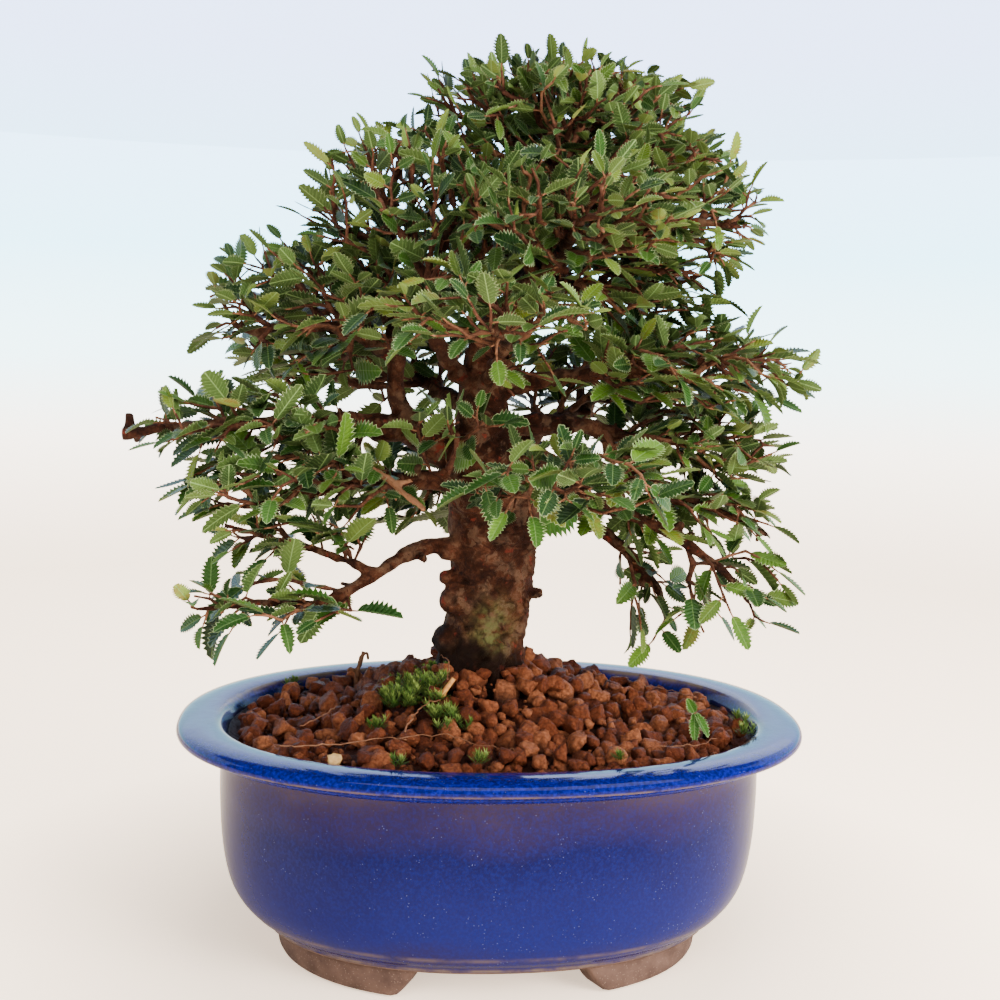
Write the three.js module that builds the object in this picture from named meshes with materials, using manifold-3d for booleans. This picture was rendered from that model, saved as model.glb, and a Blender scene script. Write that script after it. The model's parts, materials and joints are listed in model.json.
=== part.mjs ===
// A small zelkova bonsai in an oval glazed pot, in millimetres, +Z up, standing on Z = 0.
// +X runs along the pot, the front of the tree faces -Y, and every piece is a closed solid.
import * as THREE from "three";
import { mergeVertices } from "three/addons/utils/BufferGeometryUtils.js";
import Module from "manifold-3d";

const wasm = await Module();
wasm.setup();

// Driving dimensions
const GAP = 0.3; // clearance between pieces that touch on the real thing
const RIM_HALF_LENGTH = 82.5;
const RIM_HALF_WIDTH = 62;
const OVAL_POWER = 2.22; // 2 is an ellipse, more is squarer
const OVAL_SIDES = 34;
const POT_UNDERSIDE = 8;
const FLOOR_TOP = 14;
const FOOT_SINK = 0.8; // how far the feet reach into the pot's underside, to join it
const FOOT_WIDTH = 8.5;
const ARCH_HALF_AT_GROUND = 27;
const ARCH_HALF_AT_TOP = 19;
const DRAIN_RADIUS = 6.5;
const DRAIN_OFFSET = 30;
const SCREEN_SIDE = 21;
const SCREEN_THICKNESS = 1.2;
const SCREEN_CELLS = 3;
const SCREEN_BAR = 2;
const GRANULE_SPACING = 11.2;
const GRANULE_RISE = 3.4;
const SOIL_EDGE = 56.2; // soil level along the back of the rim
const SOIL_FRONT_LIFT = 1.6; // how much higher it lies along the front
const MOUND_TOP = 75;
const MOUND_REACH = 30;
const TRUNK_SIDES = 10;
const TRUNK_CENTRE = new THREE.Vector2(-2.5, 5);
const ROOT_COUNT = 5;
const ROOT_REACH = 27;
const LEAF_LENGTH = 15;
const LEAF_HALF_WIDTH = 4;
const LEAF_THICKNESS = 1.4;
const LEAF_SINK = 0.4; // how far a leaf's base lies past its twig's middle
const LEAF_THICKEST = 0.34; // where along the blade it is thickest
const LEAF_CLEARANCE = 0.5; // added all round a leaf when it is tested against its neighbours
const INTERNODE = 4.6;
const TWIG_RADIUS = 1;
const TWIG_SIDES = 3;
const SMALLEST_DETAIL = 0.16; // joins are simplified where that moves the surface less than this

// Oval rings of the pot: half length, half width and height, from the underside round the lip.
const POT_OUTSIDE = [
  [60, 45.5, POT_UNDERSIDE],
  [61, 46, 9.5],
  [64, 47.6, 11.5],
  [67.4, 49.2, 15.5],
  [70.8, 51.1, 26],
  [71.5, 51.5, 51.5],
  [76.8, 56.4, 54.2],
  [78.2, 57.8, 55.4],
  [78.4, 58, 56.6],
  [81.6, 61.1, 56.9],
  [RIM_HALF_LENGTH, RIM_HALF_WIDTH, 58.2],
  [81.6, 61.1, 59.8],
  [78.4, 58, 60.5],
  [74.6, 54.2, 60.5],
  [70.6, 50.2, 59.2],
];
const POT_INSIDE = [
  [70.2, 49.8, 57],
  [66.4, 46.4, 52.5],
  [65.4, 45.6, 26],
  [60, 42, FLOOR_TOP],
];

// The wood, grown as one piece: each station is x, y, z and the radius there. The last station of
// the trunk and of each leafy limb is where its end spray reaches to, and the wood stops before it.
const TRUNK = [
  [-3, 5, 46, 10.5],
  [-3, 5, 60, 14.2],
  [-2.6, 5, 71, 13.4],
  [-2.2, 5, 80, 12.1],
  [-0.3, 5, 90, 11.7],
  [-0.4, 5, 102, 12.2],
  [-0.2, 4, 112, 13.2],
  [-0.6, 4, 122, 12.2],
  [-3, 4, 133, 9],
  [-4, 4, 146, 7],
  [-1, 4, 159, 6.5],
  [6, 4, 169, 5.8],
  [12.5, 4, 178, 5],
  [15, 3.5, 189, 4.2],
  [17, 2.5, 201, 3.2],
  [20, 0, 213, 2],
  [22, 0, 222, 1.1],
];
const LIMBS = {
  crown_right: [[12, 4, 183, 3], [22, 2, 190, 2.4], [30, -2, 197, 1.7], [38, -6, 202, 1]],
  crown_side: [[20, 2, 189, 2.2], [34, -5, 188, 1.7], [46, -9, 190, 1.3], [60, -12, 189, 0.8]],
  crown_left: [[14, 4, 190, 2.4], [6, 6, 202, 1.8], [-2, 6, 213, 1.1]],
  second_leader: [
    [-7, 2, 122, 4.6], [-18, 0, 132, 4], [-26, 0, 142, 3.3], [-27, 0, 155, 2.8], [-29, 2, 171, 2.4],
    [-29, 2, 190, 1.8], [-27, 0, 204, 1],
  ],
  inner_left: [
    [-4, 4, 144, 3.2], [-12, -2, 152, 2.7], [-18, -7, 162, 2.2], [-18, -10, 176, 1.7], [-13, -13, 190, 1],
  ],
  long_left: [
    [-6, 3, 129, 4.4], [-22, 0, 134, 3.8], [-42, -5, 138, 3], [-62, -9, 137, 2.2], [-82, -10, 136, 1.7],
    [-94.5, -10, 134, 1.6],
  ],
  left_mid: [
    [-26, 0, 154, 2.5], [-40, 1, 161, 2], [-52, 2, 162, 1.6], [-66, 4, 160, 1.2], [-72, 5, 168, 0.8],
  ],
  left_low: [[-5, 1, 121, 3], [-22, -6, 123, 2.5], [-42, -14, 123, 1.9], [-60, -20, 118, 1]],
  bottom_left: [
    [-6, 3, 102, 3.4], [-19, -2, 105, 2.5], [-33, -13, 99, 2.1], [-45, -22, 94, 1.7], [-60, -27, 95, 1.2],
    [-74, -30, 94, 0.8],
  ],
  bottom_left_fork: [[-32, -12, 100, 1.6], [-43, -15, 105, 1.2], [-56, -18, 109, 1], [-69, -20, 113, 0.8]],
  cut_twig: [[-36, -5, 136, 1.5], [-36, -13, 129, 1.5], [-29, -23, 125, 1.3], [-20.5, -34, 119, 1.1]],
  hanging_right: [
    [8, 3, 122, 2.8], [22, 0, 114, 2.2], [34, 0, 105, 1.7], [44, 0, 94, 1.2], [47, 0, 84, 0.8],
  ],
  low_right: [
    [7, 2, 124, 3], [25, -8, 118, 2.4], [42, -12, 112, 1.8], [57, -15, 102, 1.3], [65, -16, 93, 0.8],
  ],
  right_low: [[8, 4, 126, 3.4], [28, 4, 125, 2.6], [46, 2, 121, 2], [58, 0, 116, 1.4], [73, -3, 109, 0.8]],
  right_mid: [[0, 5, 136, 3.8], [20, 8, 137, 3], [38, 9, 133, 2.2], [58, 9, 127, 1.5], [72, 8, 128, 0.8]],
  right_far: [[-1, 4, 146, 3.2], [16, 0, 150, 2.6], [33, -4, 152, 1.9], [50, -8, 155, 1.3], [70, -10, 154, 0.8]],
  right_upper: [[9, 4, 174, 2.6], [28, 4, 174, 1.9], [44, 3, 174, 1.4], [60, 1, 180, 0.8]],
  front_low: [[1, -2, 126, 2.4], [12, -20, 128, 1.9], [17, -38, 126, 1.5], [10, -54, 126, 0.9]],
  front_mid: [[-4, 1, 147, 2.6], [-2, -22, 155, 2], [-3, -42, 160, 1.5], [-8, -56, 162, 0.9]],
  front_high: [[10, 2, 174, 2.4], [13, -14, 181, 1.9], [14, -30, 186, 1.2], [12, -42, 190, 0.8]],
  back_low: [[-1, 8, 112, 3.4], [-4, 24, 117, 2.5], [-8, 42, 119, 1.6], [-12, 56, 119, 0.9]],
  back_right: [[1, 7, 130, 3.4], [16, 20, 136, 2.6], [30, 34, 142, 1.8], [42, 46, 147, 0.9]],
  back_left: [[-5, 7, 138, 3.2], [-16, 20, 146, 2.5], [-30, 34, 152, 1.7], [-42, 44, 155, 0.9]],
  back_high: [[5, 6, 168, 2.8], [8, 22, 178, 2.1], [12, 38, 184, 1.4], [14, 50, 187, 0.8]],
};
// Swellings and healed cuts on the trunk: centre and radius.
const BURLS = [
  [7.5, 0, 123, 7.5],
  [-7, -2, 119, 6],
  [-10.5, 1, 90.5, 4],
  [-11, 2, 79, 5],
];
const DEAD_TWIG = [[-36, 25.5, 53, 0.9], [-36, 25.5, 60, 0.8], [-35.6, 25, 66, 0.7], [-34.2, 24.6, 70.5, 0.6]];
const SEEDLING_STALK = [[51, -22, 54, 0.8], [51, -22, 61, 0.7], [50, -22.4, 66, 0.6]];
const SEEDLING_LEAVES = [[-0.6, -0.25, 1], [0.55, -0.3, 0.55]];
const MOSS_CENTRE = new THREE.Vector2(-21, -5);
const MOSS_HALF = new THREE.Vector2(13, 15);
const MOSS_SPACING = 6.2;

// Foliage lobes: centre, radii, the limbs that carry them and how many sprays reach for their
// surface. Each limb also ends in a spray of its own, apart from the bare ones.
const LOBES = {
  top: { centre: [20, 0, 206], radii: [34, 32, 25], limbs: ["TRUNK", "crown_left"], sprays: 3 },
  crown_right: { centre: [46, -4, 190], radii: [28, 26, 18], limbs: ["crown_right", "crown_side"], sprays: 1 },
  crown_left: { centre: [-20, -4, 193], radii: [31, 28, 20], limbs: ["second_leader", "inner_left"], sprays: 2 },
  left_mid: { centre: [-50, 3, 167], radii: [30, 26, 17], limbs: ["left_mid"], sprays: 2 },
  left_far: { centre: [-66, -9, 140], radii: [28, 22, 11], limbs: ["long_left"], sprays: 2 },
  left_lower: { centre: [-48, -16, 121], radii: [27, 20, 9], limbs: ["left_low"], sprays: 1 },
  bottom_left: { centre: [-58, -25, 97], radii: [25, 18, 9], limbs: ["bottom_left"], sprays: 1 },
  bottom_fork: { centre: [-58, -16, 109], radii: [22, 16, 8], limbs: ["bottom_left_fork"], sprays: 0 },
  right_upper: { centre: [46, 6, 172], radii: [26, 24, 13], limbs: ["right_upper"], sprays: 1 },
  right_far: { centre: [50, -8, 153], radii: [30, 24, 12], limbs: ["right_far"], sprays: 2 },
  right_mid: { centre: [54, 10, 130], radii: [26, 22, 12], limbs: ["right_mid"], sprays: 1 },
  right_low: { centre: [54, -2, 114], radii: [24, 18, 9], limbs: ["right_low"], sprays: 1 },
  low_right: { centre: [54, -15, 101], radii: [20, 15, 11], limbs: ["low_right"], sprays: 1 },
  hanging: { centre: [45, 0, 88], radii: [10, 10, 14], limbs: ["hanging_right"], sprays: 0 },
  front_low: { centre: [12, -46, 127], radii: [25, 17, 8], limbs: ["front_low"], sprays: 1 },
  front_mid: { centre: [-6, -45, 162], radii: [27, 18, 12], limbs: ["front_mid"], sprays: 2 },
  front_high: { centre: [14, -32, 188], radii: [28, 20, 16], limbs: ["front_high"], sprays: 1 },
  back_low: { centre: [-8, 46, 120], radii: [34, 19, 11], limbs: ["back_low"], sprays: 1 },
  back_right: { centre: [38, 40, 147], radii: [30, 24, 17], limbs: ["back_right"], sprays: 2 },
  back_left: { centre: [-38, 40, 154], radii: [32, 24, 17], limbs: ["back_left"], sprays: 2 },
  back_high: { centre: [12, 40, 186], radii: [34, 22, 18], limbs: ["back_high"], sprays: 2 },
};
const BARE_LIMBS = ["long_left", "cut_twig"];

// Materials
const GLAZE = new THREE.MeshStandardMaterial({ color: 0x1b2a86, roughness: 0.18, metalness: 0 });
const SCREEN = new THREE.MeshStandardMaterial({ color: 0x23262a, roughness: 0.6, metalness: 0 });
const AKADAMA = new THREE.MeshStandardMaterial({ color: 0x6b3420, roughness: 0.95, metalness: 0 });
const BARK = new THREE.MeshStandardMaterial({ color: 0x5b3a28, roughness: 0.9, metalness: 0 });
const DEAD_WOOD = new THREE.MeshStandardMaterial({ color: 0x4a3626, roughness: 0.9, metalness: 0 });
const MOSS = new THREE.MeshStandardMaterial({ color: 0x4f7a2c, roughness: 0.95, metalness: 0 });
const LEAF = new THREE.MeshStandardMaterial({ color: 0x2f5f33, roughness: 0.5, metalness: 0 });

// A seeded random source that gives 0 to 1.
function seeded(seed) {
  let state = seed >>> 0;
  return function next() {
    state = (state + 0x6d2b79f5) >>> 0;
    let mixed = Math.imul(state ^ (state >>> 15), 1 | state);
    mixed = (mixed + Math.imul(mixed ^ (mixed >>> 7), 61 | mixed)) ^ mixed;
    return ((mixed ^ (mixed >>> 14)) >>> 0) / 4294967296;
  };
}

function vector(values) {
  return new THREE.Vector3(values[0], values[1], values[2]);
}

// Solids
function solidOf(geometry) {
  const bare = geometry.clone();
  bare.deleteAttribute("normal");
  bare.deleteAttribute("uv");
  const merged = mergeVertices(bare, 1e-4);
  return new wasm.Manifold(
    new wasm.Mesh({
      numProp: 3,
      vertProperties: new Float32Array(merged.attributes.position.array),
      triVerts: new Uint32Array(merged.index.array),
    }),
  );
}

function geometryOf(solid) {
  const mesh = solid.getMesh();
  const geometry = new THREE.BufferGeometry();
  geometry.setAttribute("position", new THREE.BufferAttribute(mesh.vertProperties, 3));
  geometry.setIndex(new THREE.BufferAttribute(mesh.triVerts, 1));
  return geometry;
}

function joined(solids) {
  return wasm.Manifold.union(solids);
}

// The largest connected piece, with detail too small to matter removed.
function mainBody(solid) {
  const bodies = solid.simplify(SMALLEST_DETAIL).decompose();
  return bodies.reduce((best, body) => (body.volume() > best.volume() ? body : best));
}

function skinGeometry(points, faces) {
  const geometry = new THREE.BufferGeometry();
  geometry.setAttribute("position", new THREE.Float32BufferAttribute(points.flatMap((p) => [p.x, p.y, p.z]), 3));
  geometry.setIndex(faces);
  return geometry;
}

// A closed skin over a stack of rings with equal numbers of points, each end closed by a fan.
function skin(rings) {
  const sides = rings[0].length;
  const points = rings.flat();
  const faces = [];
  for (let r = 0; r + 1 < rings.length; r += 1) {
    for (let i = 0; i < sides; i += 1) {
      const next = (i + 1) % sides;
      const low = r * sides;
      const high = low + sides;
      faces.push(low + i, low + next, high + next);
      faces.push(low + i, high + next, high + i);
    }
  }
  const lastRing = (rings.length - 1) * sides;
  const firstHub = points.length;
  points.push(middleOf(rings[0]));
  points.push(middleOf(rings[rings.length - 1]));
  for (let i = 0; i < sides; i += 1) {
    const next = (i + 1) % sides;
    faces.push(firstHub, next, i);
    faces.push(firstHub + 1, lastRing + i, lastRing + next);
  }
  return solidOf(skinGeometry(points, faces));
}

function middleOf(ring) {
  const sum = new THREE.Vector3();
  ring.forEach((point) => sum.add(point));
  return sum.divideScalar(ring.length);
}

function ovalRing(halfLength, halfWidth, height) {
  const ring = [];
  for (let i = 0; i < OVAL_SIDES; i += 1) {
    const angle = (2 * Math.PI * i) / OVAL_SIDES;
    const c = Math.cos(angle);
    const s = Math.sin(angle);
    const x = halfLength * Math.sign(c) * Math.abs(c) ** (2 / OVAL_POWER);
    const y = halfWidth * Math.sign(s) * Math.abs(s) ** (2 / OVAL_POWER);
    ring.push(new THREE.Vector3(x, y, height));
  }
  return ring;
}

function ovalStack(rows) {
  return skin(rows.map(([halfLength, halfWidth, height]) => ovalRing(halfLength, halfWidth, height)));
}

// A tapering limb through its stations; grow widens it all along, for the hole that it stands in.
function limb(stations, sides, stepsPerSpan, grow = 0) {
  const curve = new THREE.CatmullRomCurve3(stations.map(vector));
  const steps = (stations.length - 1) * stepsPerSpan;
  const rings = [];
  let across = null;
  for (let k = 0; k <= steps; k += 1) {
    const t = k / steps;
    const along = curve.getTangent(t);
    across = across || new THREE.Vector3(0.31, 0.95, 0.05);
    across = across.clone().addScaledVector(along, -across.dot(along)).normalize();
    const up = new THREE.Vector3().crossVectors(along, across);
    const place = t * (stations.length - 1);
    const span = Math.min(Math.floor(place), stations.length - 2);
    const radius = THREE.MathUtils.lerp(stations[span][3], stations[span + 1][3], place - span) + grow;
    const ring = [];
    for (let i = 0; i < sides; i += 1) {
      const angle = (2 * Math.PI * i) / sides;
      const point = curve.getPoint(t);
      point.addScaledVector(across, radius * Math.cos(angle));
      point.addScaledVector(up, radius * Math.sin(angle));
      ring.push(point);
    }
    rings.push(ring);
  }
  return skin(rings);
}

function moved(geometry, x, y, z) {
  return solidOf(geometry.translate(x, y, z));
}

// Pot
function archPrism() {
  const outline = new THREE.Shape();
  const below = -1;
  const top = POT_UNDERSIDE;
  outline.moveTo(-ARCH_HALF_AT_GROUND, below);
  outline.lineTo(ARCH_HALF_AT_GROUND, below);
  outline.bezierCurveTo(ARCH_HALF_AT_TOP + 3, below + 1, ARCH_HALF_AT_GROUND - 3, top, ARCH_HALF_AT_TOP, top);
  outline.lineTo(-ARCH_HALF_AT_TOP, top);
  outline.bezierCurveTo(
    -ARCH_HALF_AT_GROUND + 3, top, -ARCH_HALF_AT_TOP - 3, below + 1, -ARCH_HALF_AT_GROUND, below,
  );
  const depth = 2 * RIM_HALF_WIDTH;
  const prism = new THREE.ExtrudeGeometry(outline, { depth, bevelEnabled: false, curveSegments: 4 });
  prism.translate(0, 0, -depth / 2).rotateX(Math.PI / 2);
  return solidOf(prism);
}

function potFeet() {
  const top = POT_UNDERSIDE + FOOT_SINK;
  const outside = ovalStack([[56, 44, 0], [57, 44.6, top]]);
  const inside = ovalStack([[56 - FOOT_WIDTH, 44 - FOOT_WIDTH, -1], [57 - FOOT_WIDTH, 44.6 - FOOT_WIDTH, top + 1]]);
  return outside.subtract(inside).subtract(archPrism());
}

function drainHole(x) {
  const drill = new THREE.CylinderGeometry(DRAIN_RADIUS, DRAIN_RADIUS, 4 * FLOOR_TOP, 14);
  drill.rotateX(Math.PI / 2);
  return moved(drill, x, 0, FLOOR_TOP);
}

function makePot() {
  const shell = ovalStack([...POT_OUTSIDE, ...POT_INSIDE]);
  const fired = shell.add(potFeet()).subtract(drainHole(-DRAIN_OFFSET)).subtract(drainHole(DRAIN_OFFSET));
  return mainBody(fired);
}

// Drain screens: square plastic mesh that lies on the pot's floor over each hole.
function makeScreen(x) {
  const height = FLOOR_TOP + GAP + SCREEN_THICKNESS / 2;
  const pitch = (SCREEN_SIDE - SCREEN_BAR) / SCREEN_CELLS;
  const cellSide = pitch - SCREEN_BAR;
  const firstCell = -SCREEN_SIDE / 2 + SCREEN_BAR + cellSide / 2;
  let screen = moved(new THREE.BoxGeometry(SCREEN_SIDE, SCREEN_SIDE, SCREEN_THICKNESS), x, 0, height);
  for (let row = 0; row < SCREEN_CELLS; row += 1) {
    for (let column = 0; column < SCREEN_CELLS; column += 1) {
      const cell = new THREE.BoxGeometry(cellSide, cellSide, 2 * SCREEN_THICKNESS);
      screen = screen.subtract(moved(cell, x + firstCell + column * pitch, firstCell + row * pitch, height));
    }
  }
  return screen;
}

// Soil
function soilLevel(x, y) {
  const towardsFront = THREE.MathUtils.clamp(0.5 - y / (2 * RIM_HALF_WIDTH), 0, 1);
  const edge = SOIL_EDGE + SOIL_FRONT_LIFT * towardsFront;
  const distance = Math.hypot(x - TRUNK_CENTRE.x, y - TRUNK_CENTRE.y);
  return edge + (MOUND_TOP - edge) * Math.exp(-((distance / MOUND_REACH) ** 2));
}

// A thick plate whose top is a field of pointed bumps set edge to edge: every third point of a
// triangle lattice is a bump's middle and the points between are the low places round it.
function bumpField(centre, half, spacing, seed, heightAt) {
  const random = seeded(seed);
  const step = spacing / Math.sqrt(3);
  const rowStep = (step * Math.sqrt(3)) / 2;
  const rows = Math.ceil(half.y / rowStep) * 2 + 1;
  const columns = Math.ceil(half.x / step) * 2 + 1;
  const top = [];
  for (let row = 0; row < rows; row += 1) {
    for (let column = 0; column < columns; column += 1) {
      const middle = (column - Math.floor(row / 2) - row + 3 * rows) % 3 === 0;
      const nudge = 0.16 * spacing;
      const x = centre.x + (column - (columns - 1) / 2 + (row % 2) / 2) * step + nudge * (random() - 0.5);
      const y = centre.y + (row - (rows - 1) / 2) * rowStep + nudge * (random() - 0.5);
      top.push(new THREE.Vector3(x, y, heightAt(x, y, middle, random())));
    }
  }
  const bottom = top.map((point) => new THREE.Vector3(point.x, point.y, FLOOR_TOP - 4));
  const points = [...top, ...bottom];
  const faces = [];
  const under = top.length;
  const at = (row, column) => row * columns + column;
  for (let row = 0; row + 1 < rows; row += 1) {
    for (let column = 0; column + 1 < columns; column += 1) {
      const a = at(row, column);
      const b = at(row, column + 1);
      const c = at(row + 1, column + 1);
      const d = at(row + 1, column);
      const pair = row % 2 === 0 ? [a, b, d, b, c, d] : [a, b, c, a, c, d];
      faces.push(...pair);
      for (let k = 0; k < 6; k += 3) faces.push(pair[k] + under, pair[k + 2] + under, pair[k + 1] + under);
    }
  }
  const wall = (from, to) => faces.push(from, from + under, to + under, from, to + under, to);
  for (let column = 0; column + 1 < columns; column += 1) {
    wall(at(0, column), at(0, column + 1));
    wall(at(rows - 1, column + 1), at(rows - 1, column));
  }
  for (let row = 0; row + 1 < rows; row += 1) {
    wall(at(row, columns - 1), at(row + 1, columns - 1));
    wall(at(row + 1, 0), at(row, 0));
  }
  return solidOf(skinGeometry(points, faces));
}

function granuleField(lift) {
  const half = new THREE.Vector2(RIM_HALF_LENGTH - 8, RIM_HALF_WIDTH - 8);
  const heightAt = (x, y, middle, chance) =>
    soilLevel(x, y) + lift + (middle ? GRANULE_RISE * (0.45 + 0.55 * chance) : -0.8 * chance);
  return bumpField(new THREE.Vector2(0, 0), half, GRANULE_SPACING, 11, heightAt);
}

function makeSoil(smallHoles) {
  const inset = POT_INSIDE.map(([halfLength, halfWidth, height]) => [halfLength - GAP, halfWidth - GAP, height]);
  inset[inset.length - 1][2] += GAP;
  const filling = inset.reverse();
  filling.push([POT_INSIDE[0][0] - GAP, POT_INSIDE[0][1] - GAP, MOUND_TOP + 20]);
  let soil = ovalStack(filling).intersect(granuleField(0));
  for (const side of [-1, 1]) {
    const pocketSide = SCREEN_SIDE + 2 * GAP;
    const pocketTop = FLOOR_TOP + SCREEN_THICKNESS + 2 * GAP;
    const pocket = new THREE.BoxGeometry(pocketSide, pocketSide, 2 * (pocketTop - FLOOR_TOP));
    soil = soil.subtract(moved(pocket, side * DRAIN_OFFSET, 0, FLOOR_TOP));
  }
  return mainBody(soil.subtract(grownWood).subtract(smallHoles));
}

// Wood
function stationsOf(name) {
  return name === "TRUNK" ? TRUNK : LIMBS[name];
}

function woodStations(name) {
  return BARE_LIMBS.includes(name) ? stationsOf(name) : stationsOf(name).slice(0, -1);
}

function limbSides(stations) {
  return stations[0][3] > 2.7 ? 6 : 5;
}

function rootStations(index) {
  const angle = (2 * Math.PI * (index + 0.35 * Math.sin(5 * index))) / ROOT_COUNT;
  const outward = (reach, height, radius) => [
    TRUNK_CENTRE.x + reach * Math.cos(angle), TRUNK_CENTRE.y + reach * Math.sin(angle), height, radius,
  ];
  return [outward(4, 62, 4.6), outward(16, 58.5, 3.4), outward(ROOT_REACH, 50, 1.6)];
}

// Trunk, limbs, burls and buried roots in one body.
function woodSolid(grow) {
  const parts = [limb(woodStations("TRUNK"), TRUNK_SIDES, 1, grow)];
  for (const name of Object.keys(LIMBS)) {
    const stations = woodStations(name);
    parts.push(limb(stations, limbSides(stations), 1, grow));
  }
  for (const [x, y, z, radius] of BURLS) {
    const burl = new THREE.IcosahedronGeometry(radius + grow, 1);
    parts.push(moved(burl, x, y, z));
  }
  for (let i = 0; i < ROOT_COUNT; i += 1) parts.push(limb(rootStations(i), 5, 1, grow));
  return joined(parts);
}

// Leaves
// A toothed blade, thickest along its midrib, that starts in its twig and points along +X.
function leafBlade(length, halfWidth, thickness) {
  const side = [[0.26, 1], [0.42, 0.72], [0.62, 0.92]];
  const rim = [new THREE.Vector3(-LEAF_SINK, 0, 0)];
  for (const [along, across] of side) rim.push(new THREE.Vector3(along * length, -across * halfWidth, 0));
  rim.push(new THREE.Vector3(length, 0, 0));
  for (const [along, across] of side.slice().reverse()) {
    rim.push(new THREE.Vector3(along * length, across * halfWidth, 0));
  }
  const middle = LEAF_THICKEST * length;
  const above = new THREE.Vector3(middle, 0, thickness / 2);
  const below = new THREE.Vector3(middle, 0, -thickness / 2);
  const faces = [];
  for (let i = 0; i < rim.length; i += 1) {
    const next = (i + 1) % rim.length;
    faces.push(i, next, rim.length);
    faces.push(next, i, rim.length + 1);
  }
  return skinGeometry([...rim, above, below], faces);
}

// A blade at a point, with its tip and its upper side turned to the given directions.
function placedLeaf(point, direction, upward, scale, extra) {
  const along = direction.clone().normalize();
  const across = new THREE.Vector3().crossVectors(upward, along).normalize();
  const normal = new THREE.Vector3().crossVectors(along, across);
  const matrix = new THREE.Matrix4().makeBasis(along, across, normal).setPosition(point);
  const blade = leafBlade(LEAF_LENGTH * scale + extra, LEAF_HALF_WIDTH * scale + extra, LEAF_THICKNESS + 2 * extra);
  return solidOf(blade.applyMatrix4(matrix));
}

// Everything already placed, each with its box, so that a new twig or leaf can be tested quickly.
const obstacles = [];

function remember(solid) {
  obstacles.push({ solid, box: solid.boundingBox() });
}

function boxesMeet(a, b) {
  for (let axis = 0; axis < 3; axis += 1) {
    if (a.min[axis] > b.max[axis] || b.min[axis] > a.max[axis]) return false;
  }
  return true;
}

function isClear(solid) {
  const box = solid.boundingBox();
  for (const other of obstacles) {
    if (boxesMeet(box, other.box) && solid.intersect(other.solid).volume() > 1e-6) return false;
  }
  return true;
}

function limbCurve(name) {
  const stations = woodStations(name);
  const outer = name === "TRUNK" ? stations.slice(-4) : stations;
  return new THREE.CatmullRomCurve3(outer.map(vector));
}

// The place on a lobe's limbs from which a shoot to the target costs least: a way along the limb
// is cheaper than the same way through the air, so shoots leave their limb slanting outward.
const WAY_ALONG_LIMB = 0.6;
const LIMB_SAMPLES = 24;
function rootFor(names, target) {
  let best = null;
  for (const name of names) {
    const curve = limbCurve(name);
    const length = curve.getLength();
    for (let k = LIMB_SAMPLES / 4; k <= LIMB_SAMPLES; k += 1) {
      const t = (k / LIMB_SAMPLES) * 0.96;
      const point = curve.getPoint(t);
      const cost = point.distanceTo(target) + WAY_ALONG_LIMB * length * t;
      if (!best || cost < best.cost) best = { cost, point, along: curve.getTangent(t) };
    }
  }
  return best;
}

// The points on a lobe that its shoots reach for, spread evenly by the golden angle.
const GOLDEN_ANGLE = Math.PI * (3 - Math.sqrt(5));
function lobeTarget(lobe, index, count, turn) {
  const height = 0.92 - (1.45 * (index + 0.5)) / count;
  const angle = GOLDEN_ANGLE * index + turn;
  const flat = Math.sqrt(1 - height * height);
  const direction = new THREE.Vector3(flat * Math.cos(angle), flat * Math.sin(angle), height);
  return vector(lobe.centre).add(direction.multiply(vector(lobe.radii)));
}

const UP = new THREE.Vector3(0, 0, 1);

function twigPath(root, target, random) {
  const reach = target.clone().sub(root.point);
  const length = reach.length();
  const middle = root.point.clone().addScaledVector(reach, 0.5);
  middle.addScaledVector(root.along, 0.08 * length);
  middle.z += 0.05 * length;
  middle.x += 0.1 * length * (random() - 0.5);
  middle.y += 0.1 * length * (random() - 0.5);
  return new THREE.CatmullRomCurve3([root.point, middle, target]);
}

function twigSolid(curve, grow) {
  const stations = [0, 0.5, 1].map((t) => {
    const point = curve.getPoint(t);
    return [point.x, point.y, point.z, TWIG_RADIUS * (1 - 0.35 * t)];
  });
  return limb(stations, TWIG_SIDES, 1, grow);
}

// Leaves stand in two ranks along the outer part of a twig, with one at its tip.
const BARE_START = 0.3;
const LEAF_ANGLE = THREE.MathUtils.degToRad(52);
function leavesOn(curve, random) {
  const length = curve.getLength();
  const count = Math.max(3, Math.round((length * (1 - BARE_START)) / INTERNODE));
  const blades = [];
  for (let k = 0; k <= count; k += 1) {
    const t = BARE_START + ((0.97 - BARE_START) * k) / count;
    const along = curve.getTangent(t);
    const side = new THREE.Vector3().crossVectors(along, UP);
    if (side.length() < 0.3) side.set(1, 0.3, 0);
    side.normalize().multiplyScalar(k % 2 === 0 ? 1 : -1);
    const slant = k === count ? 0.15 : LEAF_ANGLE;
    const scale = 0.82 + 0.3 * random();
    const point = curve.getPoint(t);
    const outward = new THREE.Vector3(point.x - TRUNK_CENTRE.x, point.y - TRUNK_CENTRE.y, 0).normalize();
    const tries = [-0.25, 0.4, -0.8, 1];
    for (const lift of tries) {
      const direction = along.clone().multiplyScalar(Math.cos(slant));
      direction.addScaledVector(side, Math.sin(slant)).addScaledVector(UP, lift + 0.4 * (random() - 0.5));
      const upward = UP.clone().addScaledVector(outward, 0.9).addScaledVector(side, 1.2 * (random() - 0.5));
      if (Math.abs(direction.clone().normalize().dot(upward.clone().normalize())) > 0.94) upward.copy(side);
      if (!isClear(placedLeaf(point, direction, upward, scale, LEAF_CLEARANCE))) continue;
      blades.push(placedLeaf(point, direction, upward, scale, 0));
      break;
    }
  }
  return blades;
}

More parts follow.
